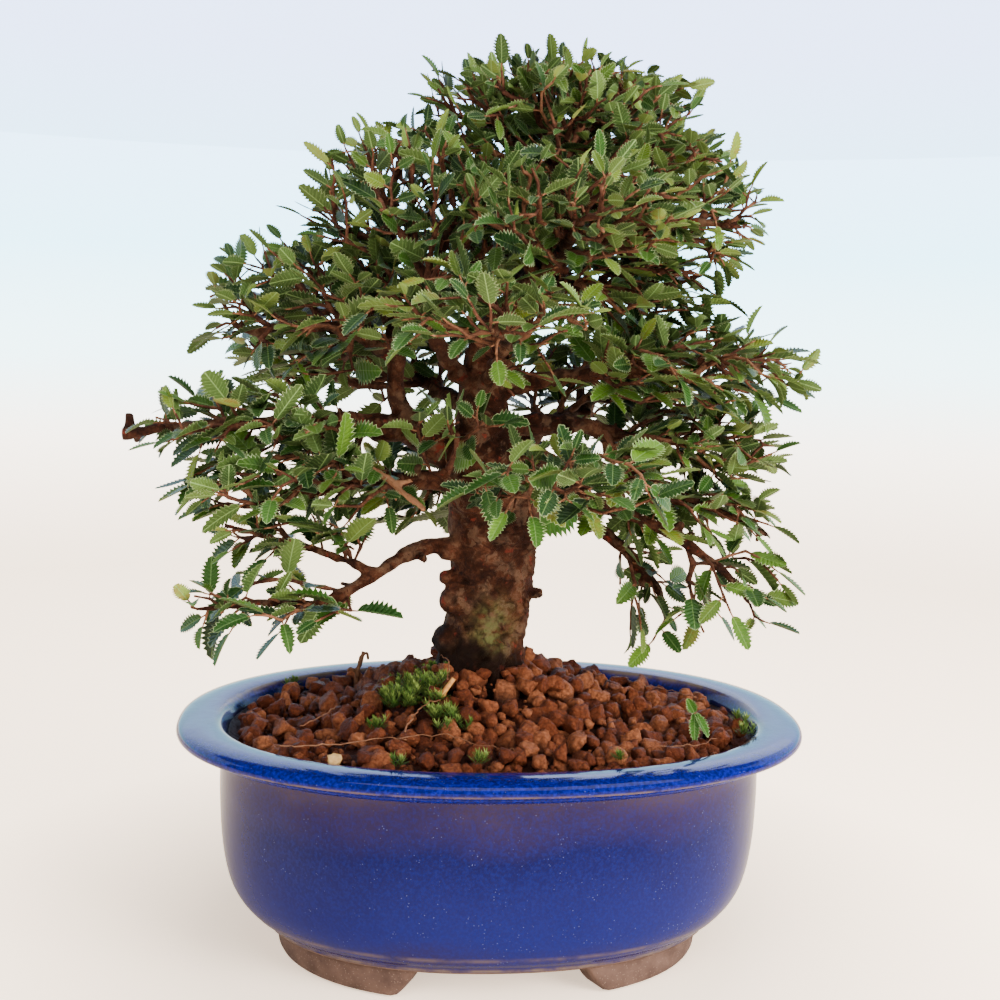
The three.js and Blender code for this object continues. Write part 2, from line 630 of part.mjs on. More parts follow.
// A spray from a root to a target: its twig and leaves in one body, seated on the wood.
const LEAST_LEAVES = 3;
function spray(root, target, random) {
  const curve = twigPath(root, target, random);
  const outer = twigSolid(curve, GAP).subtract(grownWood);
  if (outer.decompose().length !== 1 || !isClear(outer)) return null;
  remember(grownWood);
  const blades = leavesOn(curve, random);
  obstacles.pop();
  if (blades.length < LEAST_LEAVES) return null;
  return mainBody(joined([twigSolid(curve, 0), ...blades]).subtract(grownWood));
}

const SPRAY_TRIES = 16;
function tipSpray(limbName, seed) {
  const random = seeded(seed);
  const curve = limbCurve(limbName);
  const root = { point: curve.getPoint(0.97), along: curve.getTangent(1) };
  for (let attempt = 0; attempt < SPRAY_TRIES; attempt += 1) {
    const spread = new THREE.Vector3(random() - 0.5, random() - 0.5, random() - 0.3);
    const target = vector(stationsOf(limbName).at(-1)).addScaledVector(spread, 3 * attempt);
    const made = spray(root, target, random);
    if (made) return made;
  }
  return null;
}

function lobeSpray(lobe, index, seed) {
  const random = seeded(seed);
  for (let attempt = 0; attempt < SPRAY_TRIES; attempt += 1) {
    const target = lobeTarget(lobe, index, lobe.sprays, 0.9 * attempt + 2.4 * random());
    const made = spray(rootFor(lobe.limbs, target), target, random);
    if (made) return made;
  }
  return null;
}

// Small plants and twigs on the soil
function makeSeedling() {
  const parts = [limb(SEEDLING_STALK, 5, 1)];
  const tip = vector(SEEDLING_STALK[2]);
  for (const direction of SEEDLING_LEAVES) {
    parts.push(placedLeaf(tip, vector(direction), new THREE.Vector3(0.2, -0.8, 0.5), 0.62, 0));
  }
  return mainBody(joined(parts));
}

function makeMoss() {
  const heightAt = (x, y, middle, chance) => soilLevel(x, y) + (middle ? 4 + 1.4 * chance : 2);
  const field = bumpField(MOSS_CENTRE, MOSS_HALF, MOSS_SPACING, 23, heightAt);
  const sides = 14;
  const ring = (height) => {
    const points = [];
    for (let i = 0; i < sides; i += 1) {
      const angle = (2 * Math.PI * i) / sides;
      const reach = 0.72 + 0.16 * Math.sin(3 * angle + 1) + 0.1 * Math.cos(5 * angle);
      const x = MOSS_CENTRE.x + MOSS_HALF.x * reach * Math.cos(angle);
      points.push(new THREE.Vector3(x, MOSS_CENTRE.y + MOSS_HALF.y * reach * Math.sin(angle), height));
    }
    return points;
  };
  const patch = skin([ring(40), ring(90)]);
  return mainBody(patch.intersect(field).subtract(granuleField(GAP)).subtract(grownWood));
}

// Assembly
const bonsai = new THREE.Group();

function add(name, solid, material) {
  const mesh = new THREE.Mesh(geometryOf(solid), material);
  mesh.name = name;
  bonsai.add(mesh);
}

const wood = mainBody(woodSolid(0));
const grownWood = woodSolid(GAP);
const seedling = makeSeedling();
const deadTwig = mainBody(limb(DEAD_TWIG, 5, 1));
const smallHoles = joined([limb(DEAD_TWIG, 5, 1, GAP), limb(SEEDLING_STALK, 5, 1, GAP)]);

add("pot", makePot(), GLAZE);
add("drain_screen_left", makeScreen(-DRAIN_OFFSET), SCREEN);
add("drain_screen_right", makeScreen(DRAIN_OFFSET), SCREEN);
add("soil", makeSoil(smallHoles), AKADAMA);
add("trunk", wood, BARK);
add("dead_twig", deadTwig, DEAD_WOOD);
add("seedling", seedling, LEAF);
add("moss", makeMoss(), MOSS);

function addSpray(name, solid) {
  if (!solid) return;
  remember(solid);
  add(name, solid, LEAF);
}

Object.entries(LOBES).forEach(([lobeName, lobe], lobeIndex) => {
  const seed = 1000 + 37 * lobeIndex;
  lobe.limbs.filter((limbName) => !BARE_LIMBS.includes(limbName)).forEach((limbName, k) => {
    addSpray(`spray_${lobeName}_tip_${k + 1}`, tipSpray(limbName, seed + 20 + k));
  });
  for (let k = 0; k < lobe.sprays; k += 1) addSpray(`spray_${lobeName}_${k + 1}`, lobeSpray(lobe, k, seed + k));
});

// The origin is the middle of the whole part's box, on the ground.
const box = new THREE.Box3().setFromObject(bonsai);
const centre = box.getCenter(new THREE.Vector3());
bonsai.position.set(-centre.x, -centre.y, 0);

export default bonsai;
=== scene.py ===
# A small zelkova bonsai in an oval glazed pot: its looks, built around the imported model.
# Shapes are worked out in millimetres in the pot's own frame (pot centred on X = Y = 0, standing on
# Z = 0, its front towards -Y), and row_frame() takes them to the model's frame in metres.
import json
import math

import bmesh
import bpy
import numpy as np
from mathutils import Matrix, Vector, kdtree, noise

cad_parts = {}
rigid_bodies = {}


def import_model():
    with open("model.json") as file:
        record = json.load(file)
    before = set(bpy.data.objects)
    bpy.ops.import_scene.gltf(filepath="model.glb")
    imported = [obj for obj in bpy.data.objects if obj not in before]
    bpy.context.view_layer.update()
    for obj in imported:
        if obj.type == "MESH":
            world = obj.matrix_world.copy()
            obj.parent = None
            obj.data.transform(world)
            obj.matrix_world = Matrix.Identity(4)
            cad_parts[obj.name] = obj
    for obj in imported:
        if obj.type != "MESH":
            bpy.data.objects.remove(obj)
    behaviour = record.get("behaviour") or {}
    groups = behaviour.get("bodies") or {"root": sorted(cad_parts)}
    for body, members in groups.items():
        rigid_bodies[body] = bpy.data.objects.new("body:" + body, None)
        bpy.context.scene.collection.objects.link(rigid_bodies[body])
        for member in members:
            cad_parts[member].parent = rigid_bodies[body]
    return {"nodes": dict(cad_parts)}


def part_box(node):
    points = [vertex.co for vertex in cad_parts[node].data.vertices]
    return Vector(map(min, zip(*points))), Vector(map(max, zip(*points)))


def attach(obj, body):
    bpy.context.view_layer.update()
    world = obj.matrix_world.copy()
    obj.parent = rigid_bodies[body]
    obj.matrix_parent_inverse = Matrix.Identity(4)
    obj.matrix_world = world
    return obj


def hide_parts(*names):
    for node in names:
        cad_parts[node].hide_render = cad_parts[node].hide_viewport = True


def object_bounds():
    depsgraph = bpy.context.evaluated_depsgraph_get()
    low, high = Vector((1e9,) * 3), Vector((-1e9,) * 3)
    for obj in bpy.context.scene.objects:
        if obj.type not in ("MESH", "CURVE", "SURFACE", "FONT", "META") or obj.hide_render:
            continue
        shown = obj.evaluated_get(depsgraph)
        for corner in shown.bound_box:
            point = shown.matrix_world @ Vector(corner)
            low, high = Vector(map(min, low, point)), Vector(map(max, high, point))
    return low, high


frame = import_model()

MM = 0.001
CAD_LOW, CAD_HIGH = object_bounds()
POT_LOW, POT_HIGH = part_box("pot")
SHIFT = np.array([(POT_LOW.x + POT_HIGH.x) / 2, (POT_LOW.y + POT_HIGH.y) / 2, 0])

# Camera, fitted to the rim and the feet of the pot
CAMERA_PLACE = (-36.8, -364.8, 162.7)
CAMERA_AIM = (0.1022, 0.9872, -0.1226)
CAMERA_LENS = 50.5
CAMERA_SENSOR = 36
CAMERA_ROLL = math.radians(1.39)

# Pot
RIM_HALF_LENGTH = 82.5
RIM_HALF_WIDTH = 62
OVAL_POWER = 2.22
OVAL_SIDES = 144
ROWS_PER_STEP = 4
POT_UNDERSIDE = 8
FLOOR_TOP = 14
CLAY_TOP = 8.5
FOOT_WIDTH = 8.5
FOOT_TOP = 9
FOOT_HALF_LENGTH = 56
FOOT_HALF_WIDTH = 44
FOOT_STEPS = 96
ROLL_FROM = 56.8
ARCH_HALF_AT_GROUND = 27
ARCH_HALF_AT_TOP = 19
DRAIN_RADIUS = 6.5
DRAIN_OFFSET = 30
# Oval rings: half length, half width and height, from the underside round the lip and down inside.
POT_OUTSIDE = [
    (60, 45.5, POT_UNDERSIDE), (61, 46, 9.5), (64, 47.6, 11.5), (67.4, 49.2, 15.5), (69.6, 50.4, 21),
    (71, 51.2, 30), (71.5, 51.5, 42), (71.5, 51.5, 51.5), (73.4, 53.2, 53), (76.8, 56.4, 54.2),
    (78.2, 57.8, 55.4), (78.4, 58, 56.6), (81.6, 61.1, 56.9), (RIM_HALF_LENGTH, RIM_HALF_WIDTH, 58.2),
    (81.6, 61.1, 59.8), (78.4, 58, 60.5), (74.6, 54.2, 60.5), (71.6, 51.2, 59.9), (70.2, 49.8, 58),
]
POT_INSIDE = [
    (68.6, 48.4, 55), (66.4, 46.4, 51.5), (65.6, 45.8, 40), (65.4, 45.6, 26), (62.5, 43.6, 17),
    (58, 40.4, FLOOR_TOP),
]

# Soil
SOIL_EDGE = 56.2
SOIL_FRONT_LIFT = 1.6
SOIL_BACK_LIFT = 1.5
MOUND_TOP = 75
MOUND_REACH = 32
SOIL_BED_SIDES = 120
SOIL_BED_RINGS = 30
SOIL_BED_HALF = (69.4, 49.2)
# Oval rings of the soil bed inside the pot, from its top down
SOIL_BED_INSIDE = [
    (68.4, 48.2, 55), (66, 46, 51.5), (65.2, 45.4, 40), (65, 45.2, 26), (62, 43.2, 17.5),
    (57, 39.8, FLOOR_TOP + 2),
]
GRANULE_FLATS = 10
# Granules by size: least radius, largest radius and how many are tried
GRANULE_SIZES = [(3.2, 4.1, 70), (2.5, 3.4, 420), (2.0, 2.7, 650), (1.2, 1.8, 1000)]
GRANULE_HALF = np.array([68.6, 48.6])
COARSE_FROM = 2.2
CRUMB_TRIES = 1500
TRUNK_CLEARANCE = 11.5
TRUNK_CENTRE = np.array([-2.5, 5.0])
MOSS_CENTRE = np.array([-21.0, -5.0])
MOSS_HALF = np.array([12.0, 14.0])
MOSS_TUFT = np.array([-23.0, -11.0])
MOSS_TUFT_HALF = np.array([10.0, 7.0])

# Foliage
LEAF_LENGTH = 13.0
# Leaves are smaller towards the top of the crown.
CROWN_LEAF_LESS = 0.25
LEAF_TEETH = 7
TOOTHED_FROM = 0.23
TOOTH_STEP = 0.102
LEAF_MID_POINTS = 6
LEAF_HALF_THICKNESS = 0.09
INTERNODE = 4.6
LEAFY_LENGTH = 34
TWIG_TIP_RADIUS = 0.34
TARGET_SPACING = 8.0
PATH_WEIGHT = 0.40
TURN_WEIGHT = 0.8
SPUR_SHARE = 0.65
# The share of a lobe's shoots that end near its skin
OUTER_SHARE = 0.68
TWIG_SIDES = 5
STALK_SIDES = 3
CROWN_CLEARANCE = 6

# The wood, as in the model's source: each station is x, y, z and the radius there.
TRUNK = [
    (-3, 5, 46, 10.5), (-3, 5, 60, 14.2), (-2.6, 5, 71, 13.4), (-2.2, 5, 80, 12.1), (-0.3, 5, 90, 11.7),
    (-0.4, 5, 102, 12.2), (-0.2, 4, 112, 13.2), (-0.6, 4, 122, 12.2), (-3, 4, 133, 9), (-4, 4, 146, 7),
    (-1, 4, 159, 6.5), (6, 4, 169, 5.8), (12.5, 4, 178, 5), (15, 3.5, 189, 4.2), (17, 2.5, 201, 3.2),
    (20, 0, 213, 2), (22, 0, 222, 1.1),
]
LIMBS = {
    "crown_right": [(12, 4, 183, 3), (22, 2, 190, 2.4), (30, -2, 197, 1.7), (38, -6, 202, 1)],
    "crown_side": [(20, 2, 189, 2.2), (34, -5, 188, 1.7), (46, -9, 190, 1.3), (60, -12, 189, 0.8)],
    "crown_left": [(14, 4, 190, 2.4), (6, 6, 202, 1.8), (-2, 6, 213, 1.1)],
    "second_leader": [
        (-7, 2, 122, 4.6), (-18, 0, 132, 4), (-26, 0, 142, 3.3), (-27, 0, 155, 2.8), (-29, 2, 171, 2.4),
        (-29, 2, 190, 1.8), (-27, 0, 204, 1),
    ],
    "inner_left": [
        (-4, 4, 144, 3.2), (-12, -2, 152, 2.7), (-18, -7, 162, 2.2), (-18, -10, 176, 1.7), (-13, -13, 190, 1),
    ],
    "long_left": [
        (-6, 3, 129, 4.4), (-22, 0, 134, 3.8), (-42, -5, 138, 3), (-62, -9, 137, 2.2), (-82, -10, 136, 1.7),
        (-94.5, -10, 134, 1.6),
    ],
    "left_mid": [
        (-26, 0, 154, 2.5), (-40, 1, 161, 2), (-52, 2, 162, 1.6), (-66, 4, 160, 1.2), (-72, 5, 168, 0.8),
    ],
    "left_low": [(-5, 1, 121, 3), (-22, -6, 123, 2.5), (-42, -14, 123, 1.9), (-60, -20, 118, 1)],
    "bottom_left": [
        (-6, 3, 102, 3.4), (-19, -2, 105, 2.5), (-33, -13, 99, 2.1), (-45, -22, 94, 1.7), (-60, -27, 95, 1.2),
        (-74, -30, 94, 0.8),
    ],
    "bottom_left_fork": [
        (-32, -12, 100, 1.6), (-43, -15, 105, 1.2), (-56, -18, 109, 1), (-69, -20, 113, 0.8),
    ],
    "cut_twig": [(-36, -5, 136, 1.5), (-36, -13, 129, 1.5), (-29, -23, 125, 1.3), (-20.5, -34, 119, 1.1)],
    "hanging_right": [
        (8, 3, 122, 2.8), (22, 0, 114, 2.2), (34, 0, 105, 1.7), (44, 0, 94, 1.2), (47, 0, 84, 0.8),
    ],
    "low_right": [
        (7, 2, 124, 3), (25, -8, 118, 2.4), (42, -12, 112, 1.8), (57, -15, 102, 1.3), (65, -16, 93, 0.8),
    ],
    "right_low": [
        (8, 4, 126, 3.4), (28, 4, 125, 2.6), (46, 2, 121, 2), (58, 0, 116, 1.4), (73, -3, 109, 0.8),
    ],
    "right_mid": [(0, 5, 136, 3.8), (20, 8, 137, 3), (38, 9, 133, 2.2), (58, 9, 127, 1.5), (72, 8, 128, 0.8)],
    "right_far": [
        (-1, 4, 146, 3.2), (16, 0, 150, 2.6), (33, -4, 152, 1.9), (50, -8, 155, 1.3), (70, -10, 154, 0.8),
    ],
    "right_upper": [(9, 4, 174, 2.6), (28, 4, 174, 1.9), (42, 3, 174, 1.4), (54, 1, 178, 0.8)],
    "front_low": [(1, -2, 126, 2.4), (12, -20, 128, 1.9), (17, -38, 126, 1.5), (10, -54, 126, 0.9)],
    "front_mid": [(-4, 1, 147, 2.6), (-2, -22, 155, 2), (-3, -42, 160, 1.5), (-8, -56, 162, 0.9)],
    "front_high": [(10, 2, 174, 2.4), (13, -14, 181, 1.9), (14, -30, 186, 1.2), (12, -42, 190, 0.8)],
    "back_low": [(-1, 8, 112, 3.4), (-4, 24, 117, 2.5), (-8, 42, 119, 1.6), (-12, 56, 119, 0.9)],
    "back_right": [(1, 7, 130, 3.4), (16, 20, 136, 2.6), (30, 34, 142, 1.8), (42, 46, 147, 0.9)],
    "back_left": [(-5, 7, 138, 3.2), (-16, 20, 146, 2.5), (-30, 34, 152, 1.7), (-42, 44, 155, 0.9)],
    "back_high": [(5, 6, 168, 2.8), (8, 22, 178, 2.1), (12, 38, 184, 1.4), (14, 50, 187, 0.8)],
}
# Swellings and healed cuts on the trunk: centre and radius.
BURLS = [
    (7.5, 0, 123, 7.5), (-7, -2, 119, 6), (-10.5, 1, 90.5, 4), (-11, 2, 79, 5),
]
BARE_LIMBS = ["cut_twig"]
# Foliage lobes: centre, radii, the limbs that carry them and how full they are.
LOBES = {
    "top": ((18, 0, 204), (37, 32, 30), ["TRUNK", "crown_left"], 1.3),
    "top_cap": ((14, -2, 219), (35, 28, 11), ["TRUNK", "crown_left"], 1.15),
    "crown_right": ((43, -4, 194), (25, 25, 19), ["crown_right", "crown_side"], 1.15),
    "crown_left": ((-19, -4, 191), (33, 28, 23), ["second_leader", "inner_left"], 1.2),
    "left_mid": ((-47, 3, 166), (30, 26, 19), ["left_mid"], 1.0),
    "left_far": ((-62, -9, 136), (28, 22, 10), ["long_left"], 0.8),
    "left_lower": ((-51, -16, 122), (31, 20, 9), ["left_low"], 0.85),
    "bottom_left": ((-58, -25, 94), (25, 17, 6), ["bottom_left"], 0.5),
    "bottom_fork": ((-51, -16, 110), (19, 16, 6), ["bottom_left_fork"], 0.75),
    "right_upper": ((37, 6, 173), (22, 24, 13), ["right_upper"], 0.9),
    "right_far": ((50, -8, 153), (30, 24, 12), ["right_far"], 1.2),
    "right_mid": ((54, 10, 130), (26, 22, 12), ["right_mid"], 1.25),
    "right_low": ((52, -2, 114), (22, 18, 8), ["right_low"], 0.85),
    "low_right": ((60, -15, 96), (16, 11, 14), ["low_right"], 0.5),
    "hanging": ((41, 0, 94), (9, 8, 17), ["hanging_right"], 0.6),
    "collar_front": ((-12, -16, 138), (14, 8, 4), ["left_low"], 0.7),
    "fork_front": ((4, -17, 152), (10, 8, 8), ["front_mid"], 0.7),
    "front_low": ((12, -46, 127), (25, 17, 8), ["front_low"], 1.0),
    "front_mid": ((-9, -45, 165), (27, 18, 10), ["front_mid"], 0.95),
    "front_high": ((14, -32, 190), (28, 20, 14), ["front_high"], 0.95),
    "back_low": ((-4, 46, 116), (40, 20, 14), ["back_low"], 0.9),
    "back_right": ((38, 40, 147), (30, 24, 17), ["back_right"], 1.0),
    "back_left": ((-38, 40, 154), (32, 24, 17), ["back_left"], 1.0),
    "back_high": ((12, 40, 186), (34, 22, 18), ["back_high"], 1.0),
}


# Frame and meshes
def row_frame(points):
    return np.asarray(points, float) * MM + SHIFT


def pot_frame(corner):
    return (np.array(corner) - SHIFT) / MM


BOX_LOW = pot_frame(CAD_LOW)
BOX_HIGH = pot_frame(CAD_HIGH)


def new_object(name, points, faces, materials, smooth=True):
    """A mesh object from points in millimetres; faces are lists or arrays of point numbers."""
    mesh = bpy.data.meshes.new(name)
    mesh.from_pydata(row_frame(points).tolist(), [], [list(f) for f in faces])
    for material in materials:
        mesh.materials.append(material)
    mesh.polygons.foreach_set("use_smooth", np.full(len(mesh.polygons), smooth))
    mesh.update()
    made = bpy.data.objects.new(name, mesh)
    bpy.context.scene.collection.objects.link(made)
    return made


def piece(made, slot, *nodes):
    """Puts a piece on the part's one body and hides the nodes it stands for; slot is not used."""
    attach(made, "root")
    if nodes:
        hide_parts(*nodes)
    return made


def point_values(made, name, values):
    """Stores one vector for each point of a mesh, for its material to read."""
    layer = made.data.attributes.new(name, "FLOAT_VECTOR", "POINT")
    layer.data.foreach_set("vector", np.ascontiguousarray(values, dtype=np.float32).ravel())


class Builder:
    """Gathers many small closed shapes into one mesh."""

    def __init__(self):
        self.points = []
        self.faces = []
        self.values = []
        self.count = 0

    def add(self, points, faces, values=None):
        self.points.append(np.asarray(points, float))
        self.faces.extend([[i + self.count for i in face] for face in faces])
        if values is not None:
            self.values.append(np.asarray(values, float))
        self.count += len(points)

    def finish(self, name, materials, smooth=True):
        made = new_object(name, np.concatenate(self.points), self.faces, materials, smooth)
        if self.values:
            point_values(made, "tone", np.concatenate(self.values))
        return made


def ring_faces(rows, sides, closed=True):
    """Quads between rows of points; the first and last rows are capped when closed is true."""
    faces = []
    for r in range(rows - 1):
        for i in range(sides):
            j = (i + 1) % sides
            faces.append([r * sides + i, r * sides + j, (r + 1) * sides + j, (r + 1) * sides + i])
    if closed:
        faces.append(list(range(sides))[::-1])
        faces.append([(rows - 1) * sides + i for i in range(sides)])
    return faces


def catmull(points, steps):
    """A smooth line through points, with that many steps between neighbours."""
    p = np.asarray(points, float)
    p = np.vstack([2 * p[0] - p[1], p, 2 * p[-1] - p[-2]])
    out = []
    for i in range(1, len(p) - 2):
        for k in range(steps):
            t = k / steps
            a, b, c, d = p[i - 1], p[i], p[i + 1], p[i + 2]
            square = (2 * a - 5 * b + 4 * c - d) * t**2
            cube = (3 * b - a - 3 * c + d) * t**3
            out.append(0.5 * (2 * b + (c - a) * t + square + cube))
    out.append(p[-2])
    return np.array(out)


def unit(v):
    return v / max(np.linalg.norm(v), 1e-9)


def tube(line, radii, sides):
    """Rings of points square to a line, and the faces of the closed tube through them."""
    line = np.asarray(line, float)
    rings = []
    across = np.array([0.31, 0.95, 0.05])
    for k in range(len(line)):
        along = unit(line[min(k + 1, len(line) - 1)] - line[max(k - 1, 0)])
        across = unit(across - along * across.dot(along))
        up = np.cross(along, across)
        angle = np.arange(sides) * 2 * np.pi / sides
        rings.append(line[k] + radii[k] * (np.outer(np.cos(angle), across) + np.outer(np.sin(angle), up)))
    return np.concatenate(rings), ring_faces(len(line), sides)


# Materials
def new_material(name, roughness, specular=0.5):
    material = bpy.data.materials.new(name)
    material.use_nodes = True
    shader = material.node_tree.nodes["Principled BSDF"]
    shader.inputs["Roughness"].default_value = roughness
    shader.inputs["Specular IOR Level"].default_value = specular
    return material, material.node_tree, shader


def node(tree, kind, inputs=None, **settings):
    made = tree.nodes.new(kind)
    for key, value in settings.items():
        setattr(made, key, value)
    for key, value in (inputs or {}).items():
        if isinstance(value, bpy.types.NodeSocket):
            tree.links.new(value, made.inputs[key])
        else:
            made.inputs[key].default_value = value
    return made


def millimetres(tree):
    """Object coordinates in millimetres."""
    place = node(tree, "ShaderNodeTexCoord").outputs["Object"]
    return node(tree, "ShaderNodeVectorMath", {0: place, "Scale": 1 / MM}, operation="SCALE").outputs[0]


def noise_of(tree, place, size, detail=4, roughness=0.55):
    """Noise whose largest features are about size millimetres."""
    inputs = {"Vector": place, "Scale": 1 / size, "Detail": detail, "Roughness": roughness}
    return node(tree, "ShaderNodeTexNoise", inputs).outputs["Fac"]


def drifted(tree, place, size, detail, reach):
    """The place shifted by coloured noise, so that a pattern laid on it wanders."""
    drift = node(tree, "ShaderNodeTexNoise", {"Vector": place, "Scale": 1 / size, "Detail": detail})
    shift = {0: drift.outputs["Color"], 1: reach, 2: place}
    return node(tree, "ShaderNodeVectorMath", shift, operation="MULTIPLY_ADD").outputs[0]


def cells_of(tree, place, size, feature="F1"):
    made = node(tree, "ShaderNodeTexVoronoi", {"Vector": place, "Scale": 1 / size}, feature=feature)
    return made.outputs["Distance"]


def ramp(tree, value, stops):
    made = node(tree, "ShaderNodeValToRGB", {"Fac": value})
    elements = made.color_ramp.elements
    while len(elements) < len(stops):
        elements.new(0.5)
    for element, (position, colour) in zip(elements, stops):
        element.position = position
        element.color = (*colour, 1)
    return made.outputs["Color"]


def grey(level):
    return (level, level, level)


def mask(tree, value, low, high):
    """0 below low and 1 above high; swap them for the opposite."""
    if low < high:
        return ramp(tree, value, [(low, grey(0)), (high, grey(1))])
    return ramp(tree, value, [(high, grey(1)), (low, grey(0))])


def mixed(tree, amount, a, b):
    """From colour a to colour b by an amount from 0 to 1."""
    made = node(tree, "ShaderNodeMix", data_type="RGBA")
    sockets = {"Factor": made.inputs[0], "A": made.inputs[6], "B": made.inputs[7]}
    for key, value in {"Factor": amount, "A": a, "B": b}.items():
        if isinstance(value, bpy.types.NodeSocket):
            tree.links.new(value, sockets[key])
        elif key == "Factor":
            sockets[key].default_value = value
        else:
            sockets[key].default_value = (*value, 1)
    return made.outputs[2]


def maths(tree, operation, a, b=0.0, c=0.0, clamp=False):
    return node(tree, "ShaderNodeMath", {0: a, 1: b, 2: c}, operation=operation, use_clamp=clamp).outputs[0]


def times(tree, a, b):
    return maths(tree, "MULTIPLY", a, b)


def bump(tree, shader, height, distance, strength=1.0, normal=None):
    inputs = {"Height": height, "Distance": distance * MM, "Strength": strength}
    if normal is not None:
        inputs["Normal"] = normal
    made = node(tree, "ShaderNodeBump", inputs).outputs["Normal"]
    tree.links.new(made, shader.inputs["Normal"])
    return made


def set_colour(tree, shader, colour):
    tree.links.new(colour, shader.inputs["Base Color"])


def split(tree, vector):
    return node(tree, "ShaderNodeSeparateXYZ", {0: vector}).outputs


def stored(tree, name):
    return node(tree, "ShaderNodeAttribute", attribute_name=name).outputs["Vector"]


def glaze_material():
    """Cobalt glaze: deep blue that turns greyer and thinner up the wall and breaks brown on edges."""
    material, tree, shader = new_material("cobalt_glaze", 0.11, 0.15)
    place = millimetres(tree)
    height = split(tree, place)[2]
    cloud = noise_of(tree, place, 26, 5)
    fine = noise_of(tree, place, 0.8, 3, 0.6)
    level = maths(tree, "MULTIPLY_ADD", height, 1 / 70, 0.0)
    level = maths(tree, "MULTIPLY_ADD", cloud, 0.26, maths(tree, "SUBTRACT", level, 0.13))
    body = ramp(tree, level, [
        (0.12, (0.010, 0.007, 0.036)), (0.24, (0.005, 0.006, 0.062)), (0.56, (0.002, 0.002, 0.034)),
        (0.69, (0.012, 0.007, 0.030)), (0.77, (0.024, 0.015, 0.030)),
    ])
    fleck = times(tree, mask(tree, fine, 0.42, 0.66), 0.30)
    body = mixed(tree, fleck, body, (0.004, 0.009, 0.110))
    worn, lip, inside = split(tree, stored(tree, "tone"))[:3]
    # Painted shade: the band under the lip and the underside of the roll are painted a darker blue than the
    # top of the roll, as the light falls on them.
    roll = maths(tree, "SUBTRACT", height, ROLL_FROM)
    lip_with_painted_shade = mixed(tree, mask(tree, roll, 1.15, 1.65), (0.001, 0.002, 0.045), (0.004, 0.006, 0.165))
    lip_with_painted_shade = mixed(tree, times(tree, fleck, 1.2), lip_with_painted_shade, (0.004, 0.009, 0.30))
    body = mixed(tree, lip, body, lip_with_painted_shade)
    body = mixed(tree, inside, body, (0.003, 0.006, 0.024))
    speckle = cells_of(tree, place, 0.9)
    dots = mask(tree, speckle, 0.17, 0.10)
    some = mask(tree, noise_of(tree, place, 5, 2), 0.52, 0.62)
    dots = times(tree, times(tree, dots, some), 0.5)
    body = mixed(tree, dots, body, (0.09, 0.11, 0.26))
    worn = times(tree, worn, mask(tree, noise_of(tree, place, 7, 5), 0.30, 0.55))
    body = mixed(tree, worn, body, (0.085, 0.060, 0.045))
    set_colour(tree, shader, body)
    bump(tree, shader, noise_of(tree, place, 9, 3), 0.25, 0.35)
    return material


def clay_material():
    """Unglazed brown clay with sand in it."""
    material, tree, shader = new_material("fired_clay", 0.8, 0.3)
    place = millimetres(tree)
    cloud = noise_of(tree, place, 6, 6)
    colour = ramp(tree, cloud, [(0.3, (0.040, 0.022, 0.017)), (0.7, (0.090, 0.052, 0.039))])
    dots = mask(tree, cells_of(tree, place, 0.7), 0.2, 0.1)
    colour = mixed(tree, times(tree, dots, 0.5), colour, (0.26, 0.18, 0.14))
    set_colour(tree, shader, colour)
    bump(tree, shader, noise_of(tree, place, 0.8, 5), 0.2, 0.6)
    return material


def soil_material():
    """Fired red-brown clay granules: each its own tone, sandy on its skin, with painted shade in its pits and
    low in the pile.
    """
    material, tree, shader = new_material("akadama", 0.68, 0.24)
    place = millimetres(tree)
    tone = split(tree, stored(tree, "tone"))
    cloud = noise_of(tree, place, 1.6, 8, 0.78)
    shade = maths(tree, "ADD", times(tree, tone[0], 0.55), times(tree, cloud, 0.6))
    colour = ramp(tree, shade, [
        (0.18, (0.013, 0.002, 0.001)), (0.42, (0.047, 0.010, 0.004)), (0.62, (0.115, 0.028, 0.010)),
        (0.85, (0.265, 0.088, 0.036)),
    ])
    # Painted shade: tone's second value darkens what lies low in the pile.
    colour = mixed(tree, tone[1], colour, (0.010, 0.004, 0.003))
    # Painted shade in the pits between the crumbs of the skin, where the bump sinks in.
    crumbs = cells_of(tree, drifted(tree, place, 2, 3, (1.6, 1.6, 1.6)), 1.0)
    deep = mask(tree, crumbs, 0.42, 0.80)
    colour = mixed(tree, times(tree, deep, 0.45), colour, (0.016, 0.004, 0.002))
    set_colour(tree, shader, colour)
    skin = maths(tree, "SUBTRACT", noise_of(tree, place, 1.3, 8, 0.78), times(tree, crumbs, 0.45))
    first = bump(tree, shader, skin, 1.3, 1.0)
    bump(tree, shader, noise_of(tree, place, 0.35, 3, 0.6), 0.12, 0.7, first)
    return material


def plates_of(tree, place, size):
    """Irregular plates about size millimetres wide: each plate's own value, and the way to its edge."""
    whole = node(tree, "ShaderNodeTexVoronoi", {"Vector": place, "Scale": 1 / size})
    return split(tree, whole.outputs["Color"])[0], cells_of(tree, place, size, "DISTANCE_TO_EDGE")


